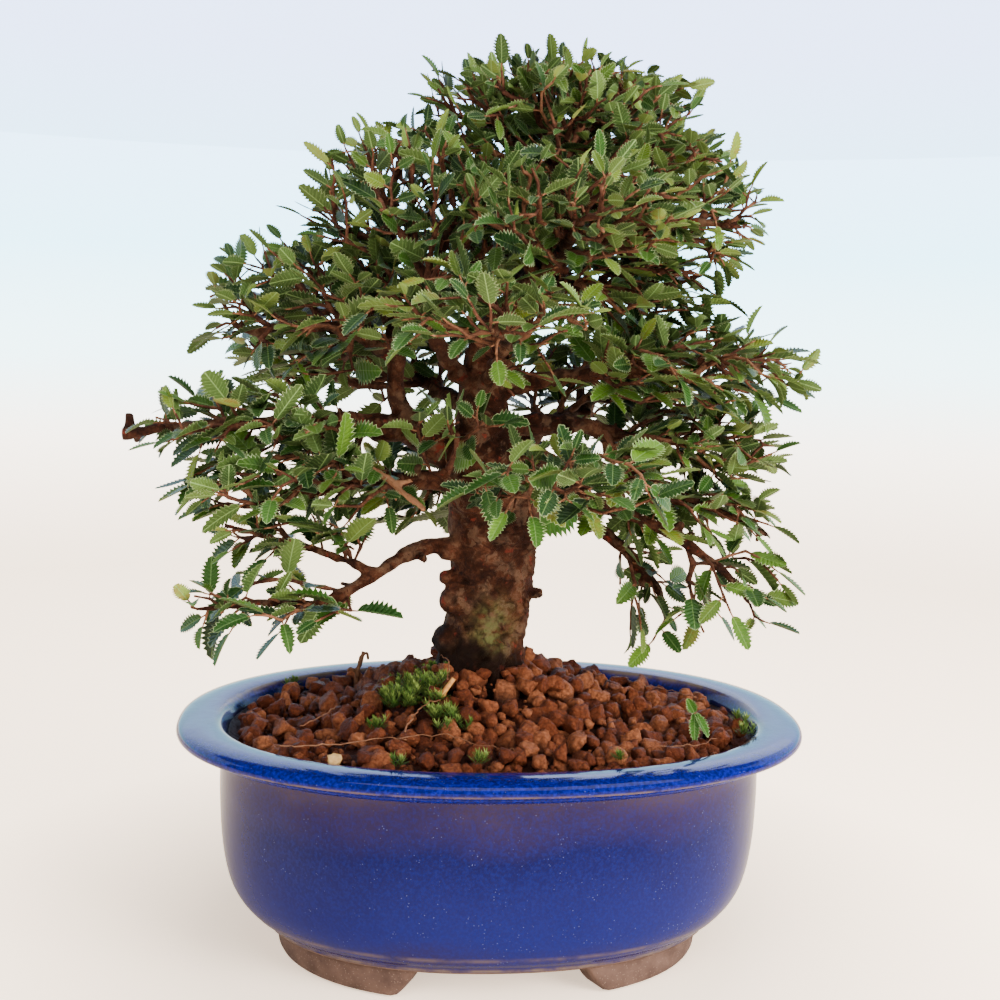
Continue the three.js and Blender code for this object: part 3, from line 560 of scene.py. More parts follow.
def bark_material(name, twig):
    """Grey-tan to red-brown bark in small flaking plates, with painted shade in its pits, cracks and hollows;
    dark at the soil.
    """
    material, tree, shader = new_material(name, 0.80, 0.15)
    place = millimetres(tree)
    bent = drifted(tree, place, 4, 4, (7, 7, 4))
    patches = noise_of(tree, place, 10 if not twig else 3, 8, 0.68)
    grain = noise_of(tree, bent, 0.9 if not twig else 0.6, 6, 0.72)
    value, edge = plates_of(tree, bent, 5.2 if not twig else 1.6)
    shade = maths(tree, "MULTIPLY_ADD", patches, 0.72, times(tree, value, 0.07))
    shade = maths(tree, "MULTIPLY_ADD", grain, 0.24, shade)
    tone = split(tree, stored(tree, "tone"))
    if twig:
        colour = ramp(tree, shade, [
            (0.40, (0.030, 0.010, 0.006)), (0.55, (0.078, 0.029, 0.016)), (0.70, (0.170, 0.076, 0.042)),
        ])
        colour = mixed(tree, tone[0], colour, (0.25, 0.115, 0.058))
        colour = mixed(tree, tone[1], colour, (0.018, 0.008, 0.006))
    else:
        colour = ramp(tree, shade, [
            (0.39, (0.006, 0.002, 0.001)), (0.47, (0.025, 0.007, 0.003)), (0.535, (0.056, 0.019, 0.009)),
            (0.62, (0.104, 0.049, 0.026)), (0.71, (0.185, 0.112, 0.068)),
        ])
        flake = mask(tree, noise_of(tree, bent, 5.5, 6, 0.60), 0.535, 0.565)
        colour = mixed(tree, times(tree, flake, 0.42), colour, (0.128, 0.074, 0.043))
        rough = mask(tree, noise_of(tree, place, 7, 7, 0.7), 0.46, 0.41)
        colour = mixed(tree, times(tree, rough, 0.7), colour, (0.026, 0.009, 0.006))
        red = mask(tree, noise_of(tree, place, 3.4, 5, 0.6), 0.62, 0.67)
        colour = mixed(tree, red, colour, (0.120, 0.020, 0.011))
        green = times(tree, tone[1], mask(tree, noise_of(tree, place, 3, 6, 0.65), 0.36, 0.60))
        colour = mixed(tree, green, colour, (0.075, 0.085, 0.026))
        colour = mixed(tree, tone[2], colour, (0.30, 0.140, 0.072))
        # Tone's first value: darker near the soil and round the collar, and painted shade in the hollows of
        # the relief.
        colour = mixed(tree, times(tree, tone[0], 0.92), colour, (0.006, 0.003, 0.002))
    # Painted shade in the cracks between plates, in the pits of the grain and in small holes.
    crack = times(tree, mask(tree, edge, 0.08, 0.015), mask(tree, patches, 0.60, 0.46))
    crack = times(tree, crack, maths(tree, "SUBTRACT", 1.0, tone[2]))
    pits = mask(tree, grain, 0.42, 0.33)
    dark = maths(tree, "MAXIMUM", times(tree, crack, 0.55), times(tree, pits, 0.8))
    if not twig:
        some = mask(tree, noise_of(tree, place, 9, 2), 0.50, 0.56)
        holes = times(tree, mask(tree, cells_of(tree, bent, 4.2), 0.20, 0.12), some)
        dark = maths(tree, "MAXIMUM", dark, times(tree, holes, 0.9))
    colour = mixed(tree, dark, colour, (0.010, 0.004, 0.003))
    set_colour(tree, shader, colour)
    relief = maths(tree, "MULTIPLY_ADD", value, 0.16, grain)
    relief = maths(tree, "SUBTRACT", relief, times(tree, crack, 0.2))
    first = bump(tree, shader, relief, 1.1 if not twig else 0.25, 1.0)
    bump(tree, shader, noise_of(tree, place, 0.4, 4, 0.7), 0.16 if not twig else 0.06, 0.8, first)
    return material


def leaf_material(name, under):
    """A blade's colour from where on the blade a point lies: midrib, side veins, and a painted highlight on
    its margin.
    """
    material, tree, shader = new_material(name, 0.62 if under else 0.45, 0.22 if under else 0.30)
    along, across, edge = split(tree, stored(tree, "blade"))[:3]
    young, chance, shade = split(tree, stored(tree, "tone"))[:3]
    place = millimetres(tree)
    mottle = noise_of(tree, place, 2.5, 4)
    pick = maths(tree, "ADD", times(tree, chance, 0.75), times(tree, mottle, 0.35))
    if under:
        old = ramp(tree, pick, [(0.2, (0.030, 0.062, 0.014)), (0.9, (0.070, 0.118, 0.024))])
        fresh = ramp(tree, pick, [(0.2, (0.14, 0.22, 0.035)), (0.9, (0.21, 0.28, 0.045))])
    else:
        old = ramp(tree, pick, [
            (0.15, (0.004, 0.020, 0.002)), (0.45, (0.011, 0.042, 0.004)), (0.75, (0.029, 0.080, 0.006)),
            (1.0, (0.084, 0.162, 0.012)),
        ])
        fresh = ramp(tree, pick, [(0.2, (0.080, 0.150, 0.012)), (0.9, (0.20, 0.26, 0.020))])
    bronze = times(tree, mask(tree, mottle, 0.50, 0.62), mask(tree, chance, 0.55, 0.75))
    fresh = mixed(tree, times(tree, bronze, 0.6), fresh, (0.23, 0.100, 0.022))
    colour = mixed(tree, young, old, fresh)
    # Painted shade: tone's third value darkens leaves deep in the crown.
    colour = mixed(tree, shade, colour, (0.003, 0.010, 0.003))
    sideways = maths(tree, "ABSOLUTE", across)
    teeth = maths(tree, "MULTIPLY_ADD", along, 1 / TOOTH_STEP, 0.6)
    phase = maths(tree, "SUBTRACT", teeth, times(tree, edge, 1.4))
    wave = maths(tree, "PINGPONG", phase, 0.5)
    vein = mask(tree, wave, 0.10, 0.02)
    midrib = mask(tree, sideways, 0.20, 0.07)
    # Painted highlight: a pale line along the rim of each blade.
    margin_highlight = mask(tree, edge, 0.90, 0.98)
    pale = (0.15, 0.24, 0.075)
    colour = mixed(tree, times(tree, vein, 0.40 if under else 0.12), colour, pale)
    colour = mixed(tree, times(tree, midrib, 0.75 if under else 0.35), colour, pale)
    colour = mixed(tree, times(tree, margin_highlight, 0.38 if under else 0.66), colour, (0.42, 0.50, 0.25))
    set_colour(tree, shader, colour)
    relief = maths(tree, "SUBTRACT", wave, times(tree, midrib, 0.4))
    bump(tree, shader, relief, 0.35, 0.8 if not under else 0.5)
    return material


def plain_material(name, low, high, size, roughness=0.8, relief=0.2):
    """Two shades of one colour in noise of a given size, with a bump of the same grain."""
    material, tree, shader = new_material(name, roughness, 0.3)
    place = millimetres(tree)
    value = noise_of(tree, place, size, 5, 0.65)
    set_colour(tree, shader, ramp(tree, value, [(0.3, low), (0.7, high)]))
    bump(tree, shader, value, relief, 0.7)
    return material


def moss_material():
    """Moss leaves: dark green at the foot, yellow-green at the tip."""
    material, tree, shader = new_material("moss", 0.7, 0.3)
    place = millimetres(tree)
    tip, chance = split(tree, stored(tree, "tone"))[:2]
    cloud = noise_of(tree, place, 2.0, 4)
    low = ramp(tree, cloud, [(0.3, (0.006, 0.018, 0.003)), (0.7, (0.022, 0.055, 0.006))])
    high = ramp(tree, chance, [(0.0, (0.042, 0.090, 0.012)), (1.0, (0.24, 0.31, 0.065))])
    set_colour(tree, shader, mixed(tree, tip, low, high))
    bump(tree, shader, noise_of(tree, place, 0.5, 3), 0.08, 0.6)
    return material


GLAZE = glaze_material()
CLAY = clay_material()
AKADAMA = soil_material()
BARK = bark_material("zelkova_bark", False)
TWIG = bark_material("zelkova_twig", True)
LEAF_TOP = leaf_material("leaf_upper_side", False)
LEAF_UNDER = leaf_material("leaf_underside", True)
MOSS = moss_material()
DEAD_WOOD = plain_material("dead_wood", (0.050, 0.020, 0.010), (0.17, 0.080, 0.040), 1.6, 0.85, 0.2)
SCREEN = plain_material("screen_plastic", (0.012, 0.013, 0.014), (0.024, 0.025, 0.027), 2.0, 0.5, 0.05)
FIBRE = plain_material("root_fibre", (0.060, 0.020, 0.010), (0.20, 0.09, 0.045), 1.2, 0.8, 0.1)
PALE_STONE = plain_material("pale_stone", (0.22, 0.12, 0.035), (0.38, 0.24, 0.10), 1.5, 0.8, 0.2)
BARE_WOOD = plain_material("fresh_cut_wood", (0.26, 0.10, 0.022), (0.46, 0.22, 0.06), 1.2, 0.7, 0.15)


# Studio: a pale floor, a round pale wall, a camera and soft lights
FLOOR_RADIUS = 620
WALL_RADIUS = 1000
WALL_HEIGHT = 820
STUDIO_SIDES = 96
STUDIO_BEND_STEPS = 12
FLOOR_UNDER = 0.4
# How much black is mixed into the floor that only reflections show
MIRRORED_BLACK = 0.45
GLOW_NEAR = 1.0
GLOW_NEAR_MIRRORED = 0.2
GLOW_FAR = 3.4
GLOW_WALL = 5.5
GLOW_MIRRORED = 2.8
GLOW_RISE = 150
# How far from the pot the paper's glow starts and is full, and where it ends in front of it
GLOW_START = 70
GLOW_FULL = 170
DARK_FROM = -64
DARK_TO = -120


def studio_colours(tree, place):
    """Cream at the floor, then white, pale cyan and pale blue towards the top."""
    level = maths(tree, "DIVIDE", split(tree, place)[2], 520)
    return ramp(tree, level, [
        (0.0, (1.0, 0.80, 0.62)), (0.13, (1.0, 0.91, 0.80)), (0.25, (0.66, 0.93, 1.0)),
        (0.44, (0.40, 0.80, 1.0)), (0.80, (0.48, 0.62, 0.97)),
    ])


def floor_material(name, near_glow, dark_front):
    """Pale paper that glows more the farther it is from the pot, save, if asked, in front of it."""
    material, tree, shader = new_material(name, 0.95, 0.1)
    place = millimetres(tree)
    shades = studio_colours(tree, place)
    if dark_front:
        shades = mixed(tree, MIRRORED_BLACK, shades, (0, 0, 0))
    set_colour(tree, shader, shades)
    tree.links.new(shades, shader.inputs["Emission Color"])
    flat = node(tree, "ShaderNodeVectorMath", {0: place, 1: (1, 1, 0)}, operation="MULTIPLY").outputs[0]
    away = node(tree, "ShaderNodeVectorMath", {0: flat}, operation="LENGTH").outputs["Value"]
    away = maths(tree, "SUBTRACT", away, GLOW_START)
    share = maths(tree, "DIVIDE", away, GLOW_FULL - GLOW_START, clamp=True)
    if dark_front:
        depth = maths(tree, "SUBTRACT", split(tree, place)[1], DARK_TO)
        share = times(tree, share, maths(tree, "DIVIDE", depth, DARK_FROM - DARK_TO, clamp=True))
    glow = maths(tree, "MULTIPLY_ADD", share, GLOW_FAR - near_glow, near_glow)
    tree.links.new(glow, shader.inputs["Emission Strength"])
    return material


def wall_material(name, low_glow, high_glow):
    """The same paper, with one glow at the floor and another above the bend."""
    material, tree, shader = new_material(name, 0.95, 0.1)
    place = millimetres(tree)
    shades = studio_colours(tree, place)
    set_colour(tree, shader, shades)
    tree.links.new(shades, shader.inputs["Emission Color"])
    share = maths(tree, "DIVIDE", split(tree, place)[2], GLOW_RISE, clamp=True)
    glow = maths(tree, "MULTIPLY_ADD", share, high_glow - low_glow, low_glow)
    tree.links.new(glow, shader.inputs["Emission Strength"])
    return material


def studio_rings(rows):
    points = []
    for radius, height in rows:
        for i in range(STUDIO_SIDES):
            angle = 2 * math.pi * i / STUDIO_SIDES
            points.append((radius * math.cos(angle), radius * math.sin(angle), height))
    return points


def make_studio():
    faces = ring_faces(3, STUDIO_SIDES, closed=False)
    faces.append(list(range(STUDIO_SIDES)))
    rings = studio_rings([(radius, -FLOOR_UNDER) for radius in (0.5, FLOOR_RADIUS * 0.5, FLOOR_RADIUS)])
    floor = new_object("studio_floor", rings, faces, [floor_material("studio_floor", GLOW_NEAR, False)])
    floor.visible_glossy = False
    rings = np.array(rings) + (0, 0, FLOOR_UNDER / 2)
    mirrored = floor_material("studio_floor_mirrored", GLOW_NEAR_MIRRORED, True)
    floor = new_object("studio_floor_mirrored", rings, faces, [mirrored])
    floor.visible_camera = False
    floor.visible_diffuse = False
    floor.visible_shadow = False
    bend = WALL_RADIUS - FLOOR_RADIUS
    wall_rows = [(FLOOR_RADIUS, -FLOOR_UNDER)]
    for k in range(1, STUDIO_BEND_STEPS + 1):
        angle = k / STUDIO_BEND_STEPS * math.pi / 2
        wall_rows.append((FLOOR_RADIUS + bend * math.sin(angle), bend * (1 - math.cos(angle))))
    wall_rows.append((WALL_RADIUS, WALL_HEIGHT))
    faces = ring_faces(len(wall_rows), STUDIO_SIDES, closed=False)
    paper = wall_material("studio_wall", GLOW_FAR, GLOW_WALL)
    wall = new_object("studio_wall", studio_rings(wall_rows), faces, [paper])
    wall.visible_glossy = False
    wall.visible_diffuse = False
    # What the glaze and the leaves mirror: a dimmer wall on the far side
    half = STUDIO_SIDES // 2
    rings = np.array(studio_rings([(WALL_RADIUS - 5, -FLOOR_UNDER), (WALL_RADIUS - 5, WALL_HEIGHT)]))
    count = STUDIO_SIDES
    faces = [[i, i + 1, count + i + 1, count + i] for i in range(half)]
    paper = wall_material("studio_reflector", GLOW_MIRRORED, GLOW_MIRRORED)
    mirror = new_object("studio_reflector", rings, faces, [paper])
    mirror.visible_camera = False
    mirror.visible_diffuse = False


def make_camera():
    data = bpy.data.cameras.new("camera")
    data.lens = CAMERA_LENS
    data.sensor_width = CAMERA_SENSOR
    data.clip_start = 0.01
    data.clip_end = 20
    camera = bpy.data.objects.new("camera", data)
    bpy.context.scene.collection.objects.link(camera)
    camera.location = Vector(row_frame(CAMERA_PLACE))
    turn = Vector(CAMERA_AIM).to_track_quat("-Z", "Y").to_matrix().to_4x4()
    turn = turn @ Matrix.Rotation(CAMERA_ROLL, 4, "Z")
    camera.rotation_euler = turn.to_euler()
    bpy.context.scene.camera = camera


def soft_light(name, place, aim, size, power, colour):
    """A square light aimed at a point; place, aim and size in millimetres, power in watts."""
    data = bpy.data.lights.new(name, "AREA")
    data.energy = power
    data.color = colour
    data.size = size * MM
    light = bpy.data.objects.new(name, data)
    bpy.context.scene.collection.objects.link(light)
    light.location = Vector(row_frame(place))
    light.rotation_euler = (Vector(aim) - Vector(place)).to_track_quat("-Z", "Y").to_euler()
    return light


def make_lights():
    soft_light("overhead", (120, -240, 740), (0, 0, 120), 760, 8.2, (1.0, 0.985, 0.95))
    front = soft_light("front_left", (-440, -610, 340), (0, 0, 120), 560, 7.2, (1.0, 0.99, 0.97))
    front.visible_glossy = False
    window = soft_light("window", (560, -520, 280), (0, 0, 120), 420, 21, (1.0, 0.99, 0.97))
    window.visible_glossy = False
    soft_light("behind", (260, 620, 520), (0, 0, 150), 420, 0.8, (0.95, 0.98, 1.0))
    world = bpy.data.worlds.new("studio_air")
    world.use_nodes = True
    background = world.node_tree.nodes["Background"]
    background.inputs["Color"].default_value = (0.95, 0.97, 1.0, 1)
    background.inputs["Strength"].default_value = 0.30
    bpy.context.scene.world = world


# Pot
def oval(half_length, half_width, sides=OVAL_SIDES):
    angle = 2 * np.pi * np.arange(sides) / sides
    c, s = np.cos(angle), np.sin(angle)
    x = half_length * np.sign(c) * np.abs(c) ** (2 / OVAL_POWER)
    y = half_width * np.sign(s) * np.abs(s) ** (2 / OVAL_POWER)
    return x, y


def oval_rings(rows, sides=OVAL_SIDES):
    rings = []
    for half_length, half_width, height in rows:
        x, y = oval(half_length, half_width, sides)
        rings.append(np.stack([x, y, np.full(sides, height)], 1))
    return np.concatenate(rings)


def oval_way(angle):
    """Where the oval with half sizes of 1 lies at an angle."""
    c, s = math.cos(angle), math.sin(angle)
    power = 2 / OVAL_POWER
    return np.array([math.copysign(abs(c) ** power, c), math.copysign(abs(s) ** power, s)])


def bell(value, centre, width):
    return np.exp(-(((value - centre) / width) ** 2))


def make_pot():
    rows = catmull(POT_OUTSIDE + POT_INSIDE, ROWS_PER_STEP)
    points = oval_rings(rows)
    faces = ring_faces(len(rows), OVAL_SIDES)
    pot = new_object("pot_body", points, faces, [GLAZE, CLAY])
    half_length = np.repeat(rows[:, 0], OVAL_SIDES)
    height = np.repeat(rows[:, 2], OVAL_SIDES)
    order = np.repeat(np.arange(len(rows)), OVAL_SIDES)
    lip_ridge = bell(half_length, 71.8, 0.9) * (order > 15 * ROWS_PER_STEP) * (height > 58.5)
    under_lip = bell(height, 57.3, 0.35) * (order < 15 * ROWS_PER_STEP) * (half_length > 80.5)
    under_band = 0.5 * bell(height, 53.4, 0.45) * (order < 12 * ROWS_PER_STEP)
    waist = 0.6 * bell(height, 12.2, 0.4) * (order < 6 * ROWS_PER_STEP)
    foot_line = bell(height, CLAY_TOP + 0.2, 0.5) * (order < 6 * ROWS_PER_STEP)
    worn = np.clip(lip_ridge + 0.8 * under_lip + under_band + waist + foot_line, 0, 1)
    lip = order >= 8 * ROWS_PER_STEP
    inside = np.clip((order - 17.5 * ROWS_PER_STEP) / ROWS_PER_STEP, 0, 1)
    values = np.stack([worn, lip, inside], 1)
    middles = np.array([p.center.z for p in pot.data.polygons]) / MM
    outer = np.array([p.vertices[0] // OVAL_SIDES for p in pot.data.polygons]) < 8 * ROWS_PER_STEP
    inner_floor = middles < 40
    clay = ((middles < CLAY_TOP) | (~outer & inner_floor)).astype(np.int32)
    pot.data.polygons.foreach_set("material_index", clay)
    for side in (-1, 1):
        drill_points, drill_faces = tube(
            [(side * DRAIN_OFFSET, 0, 2), (side * DRAIN_OFFSET, 0, 30)], [DRAIN_RADIUS, DRAIN_RADIUS], 32
        )
        drill = new_object(f"drill_{side}", drill_points, drill_faces, [CLAY], False)
        cut = pot.modifiers.new("drain", "BOOLEAN")
        cut.operation = "DIFFERENCE"
        cut.solver = "EXACT"
        cut.object = drill
    pot.data = applied(pot)
    for side in (-1, 1):
        bpy.data.objects.remove(bpy.data.objects[f"drill_{side}"])
    nearest = kdtree.KDTree(len(points))
    for i, point in enumerate(points):
        nearest.insert(Vector(point), i)
    nearest.balance()
    found = [nearest.find(Vector(pot_frame(v.co)))[1] for v in pot.data.vertices]
    point_values(pot, "tone", values[found])
    piece(pot, "glaze", "pot")
    make_feet()


def applied(made):
    """The mesh of an object with its modifiers applied, and no modifiers left on the object."""
    bpy.context.view_layer.update()
    evaluated = made.evaluated_get(bpy.context.evaluated_depsgraph_get())
    mesh = bpy.data.meshes.new_from_object(evaluated)
    made.modifiers.clear()
    return mesh


def arch_height(x):
    """How far the foot's underside is above the ground: an S curve from the ground to the pot."""
    t = np.clip((ARCH_HALF_AT_GROUND - np.abs(x)) / (ARCH_HALF_AT_GROUND - ARCH_HALF_AT_TOP), 0, 1)
    return POT_UNDERSIDE * (t * t * (3 - 2 * t))


def make_feet():
    for side, name in ((-1, "foot_left"), (1, "foot_right")):
        angle_end = math.acos((ARCH_HALF_AT_TOP / FOOT_HALF_LENGTH) ** (OVAL_POWER / 2))
        rings = []
        for k in range(FOOT_STEPS + 1):
            flat = oval_way(-angle_end + 2 * angle_end * k / FOOT_STEPS)
            low = arch_height(FOOT_HALF_LENGTH * flat[0])
            section = [
                (0.0, FOOT_TOP), (0.0, low + 0.9), (0.25, low + 0.25), (0.9, low), (FOOT_WIDTH - 0.9, low),
                (FOOT_WIDTH - 0.25, low + 0.25), (FOOT_WIDTH, low + 0.9), (FOOT_WIDTH, FOOT_TOP),
            ]
            for inward, height in section:
                spread = (height - low) / max(FOOT_TOP - low, 0.1)
                half = np.array([FOOT_HALF_LENGTH + spread - inward, FOOT_HALF_WIDTH + 0.6 * spread - inward])
                x, y = half * flat
                rings.append((side * x, y, min(height, FOOT_TOP)))
        faces = ring_faces(FOOT_STEPS + 1, len(section))
        if side < 0:
            faces = [face[::-1] for face in faces]
        foot = new_object(name, rings, faces, [CLAY])
        piece(foot, "glaze", "pot")


# Soil
def soil_level(x, y):
    towards_front = np.clip(0.5 - y / (2 * RIM_HALF_WIDTH), 0, 1)
    edge = SOIL_EDGE + SOIL_FRONT_LIFT * towards_front + SOIL_BACK_LIFT * (1 - towards_front)
    distance = np.hypot(x - TRUNK_CENTRE[0], y - TRUNK_CENTRE[1])
    return edge + (MOUND_TOP - edge) * np.exp(-((distance / MOUND_REACH) ** 2))


def ball(subdivisions):
    """The points and faces of an icosphere of radius 1."""
    mesh = bmesh.new()
    bmesh.ops.create_icosphere(mesh, subdivisions=subdivisions, radius=1)
    points = np.array([v.co[:] for v in mesh.verts])
    faces = [[v.index for v in f.verts] for f in mesh.faces]
    mesh.free()
    return points, faces


def granule(sphere, radius, rng):
    """A ball with a few flats broken off it and a crumbly skin, like a granule of fired clay."""
    points = sphere * (1 + 0.12 * rng.standard_normal(3))
    for _ in range(GRANULE_FLATS):
        normal = unit(rng.standard_normal(3))
        reach = points @ normal
        limit = rng.uniform(0.46, 0.80)
        points = points - np.outer(np.maximum(reach - limit, 0) * 0.97, normal)
    offset = rng.uniform(0, 500, 3)
    rough = [noise.fractal(Vector(p * 2.4 + offset), 0.35, 2.2, 4) for p in points]
    return points * (1 + 0.14 * np.array(rough))[:, None] * radius * 1.18


def soil_pile(rng):
    """Centres and radii of granules that lie on the soil bed and on each other."""
    placed = []
    for low, high, tries in GRANULE_SIZES:
        for _ in range(tries):
            radius = rng.uniform(low, high)
            angle = rng.uniform(0, 2 * np.pi)
            reach = math.sqrt(rng.uniform(0, 1))
            x, y = (GRANULE_HALF - radius) * reach * oval_way(angle)
            from_trunk = math.hypot(x - TRUNK_CENTRE[0], y - TRUNK_CENTRE[1])
            if from_trunk < TRUNK_CLEARANCE:
                continue
            fine_corner = x < -20 and y < -26
            from_moss = ((x, y) - MOSS_TUFT) / MOSS_TUFT_HALF
            in_moss = math.hypot(from_moss[0], from_moss[1]) < 0.85
            if in_moss and radius > 2.0:
                continue
            if fine_corner and radius > 2.4 and rng.uniform() < 0.75:
                continue
            level = float(soil_level(x, y))
            z = level - 3.2 + 0.2 * radius
            if placed:
                others = np.array(placed)
                gap = np.hypot(others[:, 0] - x, others[:, 1] - y)
                touch = (others[:, 3] + radius) * 0.80
                near = gap < touch
                if near.any():
                    z = max(z, (others[near, 2] + np.sqrt(touch[near] ** 2 - gap[near] ** 2)).max())
            if z + 0.85 * radius > level + (3.3 if radius > COARSE_FROM else 1.9):
                continue
            placed.append((x, y, z, radius))
    return placed


def make_soil():
    rng = np.random.default_rng(31)
    rows = SOIL_BED_INSIDE[::-1] + [(*SOIL_BED_HALF, 56.6)]
    points = [oval_rings(rows, SOIL_BED_SIDES)]
    for k in range(1, SOIL_BED_RINGS):
        share = 1 - k / SOIL_BED_RINGS
        x, y = oval(SOIL_BED_HALF[0] * share, SOIL_BED_HALF[1] * share, SOIL_BED_SIDES)
        rough = [1.1 * noise.fractal(Vector((a / 3, b / 3, 0.5)), 0.8, 2.1, 4) for a, b in zip(x, y)]
        z = np.minimum(soil_level(x, y) - 2.6, 66) + np.array(rough)
        points.append(np.stack([x, y, z], 1))
    faces = ring_faces(len(rows) + SOIL_BED_RINGS - 1, SOIL_BED_SIDES)
    bed = new_object("soil_bed", np.concatenate(points), faces, [AKADAMA])
    count = len(bed.data.vertices)
    # Painted shade: the bed under the granules is darkened by the tone's second value.
    point_values(bed, "tone", np.tile([0.25, 0.45, 0], (count, 1)))
    piece(bed, "soil", "soil")
    coarse, fine, crumb = ball(3), ball(2), ball(1)
    large, small = Builder(), Builder()
    for x, y, z, radius in soil_pile(rng):
        sphere, faces = coarse if radius > COARSE_FROM else fine
        target = large if radius > COARSE_FROM else small
        points = granule(sphere, radius, rng) + (x, y, z)
        # Painted shade: the parts of a granule that lie below the soil level get darker the deeper they lie.
        low = soil_level(x, y) - 0.6
        dark = np.clip((low - points[:, 2]) / 3.6, 0, 0.92)
        tone = np.stack([np.full(len(points), rng.uniform(0.35, 0.9)), dark, dark], 1)
        target.add(points, faces, tone)
    for _ in range(CRUMB_TRIES):
        radius = rng.uniform(0.35, 0.95)
        angle, reach = rng.uniform(0, 2 * np.pi), math.sqrt(rng.uniform(0.02, 1))
        x = 66 * reach * math.cos(angle)
        y = 46 * reach * math.sin(angle)
        if x > 0 and rng.uniform() < 0.6:
            continue
        z = soil_level(x, y) - 1.9 + rng.uniform(0, 0.8)
        points = granule(crumb[0], radius, rng) + (x, y, z)
        small.add(points, crumb[1], np.tile([rng.uniform(0.3, 1), 0.1, 0], (len(points), 1)))
    piece(large.finish("soil_granules", [AKADAMA]), "soil")
    piece(small.finish("soil_crumbs", [AKADAMA]), "soil")


# Wood
LIMB_STEPS = 6
TRUNK_SIDES = 28
LIMB_SIDES = 14


def limb_line(name):
    """Points and radii along a limb."""
    fine = catmull(TRUNK if name == "TRUNK" else LIMBS[name], LIMB_STEPS)
    return fine[:, :3], np.maximum(fine[:, 3], 0.5)


def knobbly(line, radii, rng, amount):
    """A limb's line and radii with small kinks and swellings, as pruning leaves them."""
    wander = rng.standard_normal(line.shape) * (radii * amount)[:, None] * 0.5
    wander[0] = wander[-1] = 0
    swell = 1 + amount * rng.standard_normal(len(radii)) * 0.7
    return line + wander, radii * np.clip(swell, 0.75, 1.3)


STUBS_PER_LIMB = 4


def limb_stubs(line, radii, rng):
    """Short cut stubs that stand off a limb."""
    stubs = []
    for _ in range(STUBS_PER_LIMB):
        k = rng.integers(2, len(line) - 1)
        along = unit(line[k] - line[k - 1])
        out = unit(np.cross(along, rng.standard_normal(3)) + 0.4 * along)
        length = radii[k] + rng.uniform(1.2, 3.6)
        radius = min(0.75 * radii[k], rng.uniform(0.7, 1.4))
        points = [line[k], line[k] + out * length * 0.6, line[k] + out * length]
        stubs.append((points, [radius * 1.3, radius, radius * 0.9]))
    return stubs


# Cuts and knobs that stand off the wood: base, end and radius.
CUTS = [
    ((-92.6, -10, 134), (-92.8, -10.3, 139.4), 1.2),
    ((-9, 1, 104), (-14.5, -1, 104.5), 3.2),
    ((8, 0, 126), (12.5, -3.5, 127), 5.2),
    ((-4, -4, 118), (-9.5, -8.5, 118.6), 3.4),
    ((-6, 0, 131), (-11, -6, 133), 2.6),
    ((-10, 2, 96), (-14.4, 0, 97), 2.0),
    ((9, 2, 92), (12.8, 0, 92.5), 1.3),
    ((-20, -1, 133), (-22, -6, 137), 1.7),
    ((-40, -4, 138), (-41, -9, 141), 1.4),
    ((3, 0, 162), (2, -6, 165), 2.2),
    ((9, 2, 176), (6, -5, 179), 1.8),
    ((33, -4, 152), (36, -8, 156), 1.3),
]
ROOTS = [
    ((4, -6, 62), (9, -13, 60), (16, -20, 56)), ((-12, -4, 62), (-19, -9, 60.5), (-27, -13, 56)),
    ((-14, 10, 61), (-21, 13, 59), (-29, 15, 54)), ((8, 12, 61), (15, 15, 59), (23, 19, 54)),
    ((-3, 16, 61), (-4, 24, 58), (-5, 32, 53)),
]
VOXEL = 0.66
# The remeshed skin and its relief add to the wood, so its radii are scaled down first.
LIMB_SLIMMER = 0.87
BARE_SLIMMER = 0.68
TRUNK_SLIMMER = 0.92
# The height at which the trunk starts to slim, and how far above it is at its slimmest
TRUNK_SLIMS_FROM = 66
TRUNK_SLIMS_OVER = 9


def skeleton():
    """Every limb's line and radii, kinked, in a fixed order."""
    rng = np.random.default_rng(5)
    lines = {}
    for name in ["TRUNK", *LIMBS]:
        line, radii = limb_line(name)
        if name != "TRUNK":
            line, radii = knobbly(line, radii, rng, 0.22)
            radii = radii * (BARE_SLIMMER if name in BARE_LIMBS else LIMB_SLIMMER)
        else:
            above_foot = np.clip((line[:, 2] - TRUNK_SLIMS_FROM) / TRUNK_SLIMS_OVER, 0, 1)
            radii = radii * (1 - (1 - TRUNK_SLIMMER) * above_foot)
        lines[name] = (line, radii)
    return lines, rng


def remeshed(builder, voxel):
    """One closed skin round all the shapes in a builder, as points and faces in millimetres."""
    mesh = bpy.data.meshes.new("rough")
    mesh.from_pydata(np.concatenate(builder.points).tolist(), [], builder.faces)
    rough = bpy.data.objects.new("rough", mesh)
    bpy.context.scene.collection.objects.link(rough)
    change = rough.modifiers.new("remesh", "REMESH")
    change.mode = "VOXEL"
    change.voxel_size = voxel
    smooth = rough.modifiers.new("smooth", "SMOOTH")
    smooth.iterations = 3
    smooth.factor = 0.5
    skin = applied(rough)
    points = np.zeros(len(skin.vertices) * 3)
    skin.vertices.foreach_get("co", points)
    normals = np.zeros(len(skin.vertices) * 3)
    skin.vertices.foreach_get("normal", normals)
    faces = [list(p.vertices) for p in skin.polygons]
    bpy.data.objects.remove(rough)
    return points.reshape(-1, 3), normals.reshape(-1, 3), faces


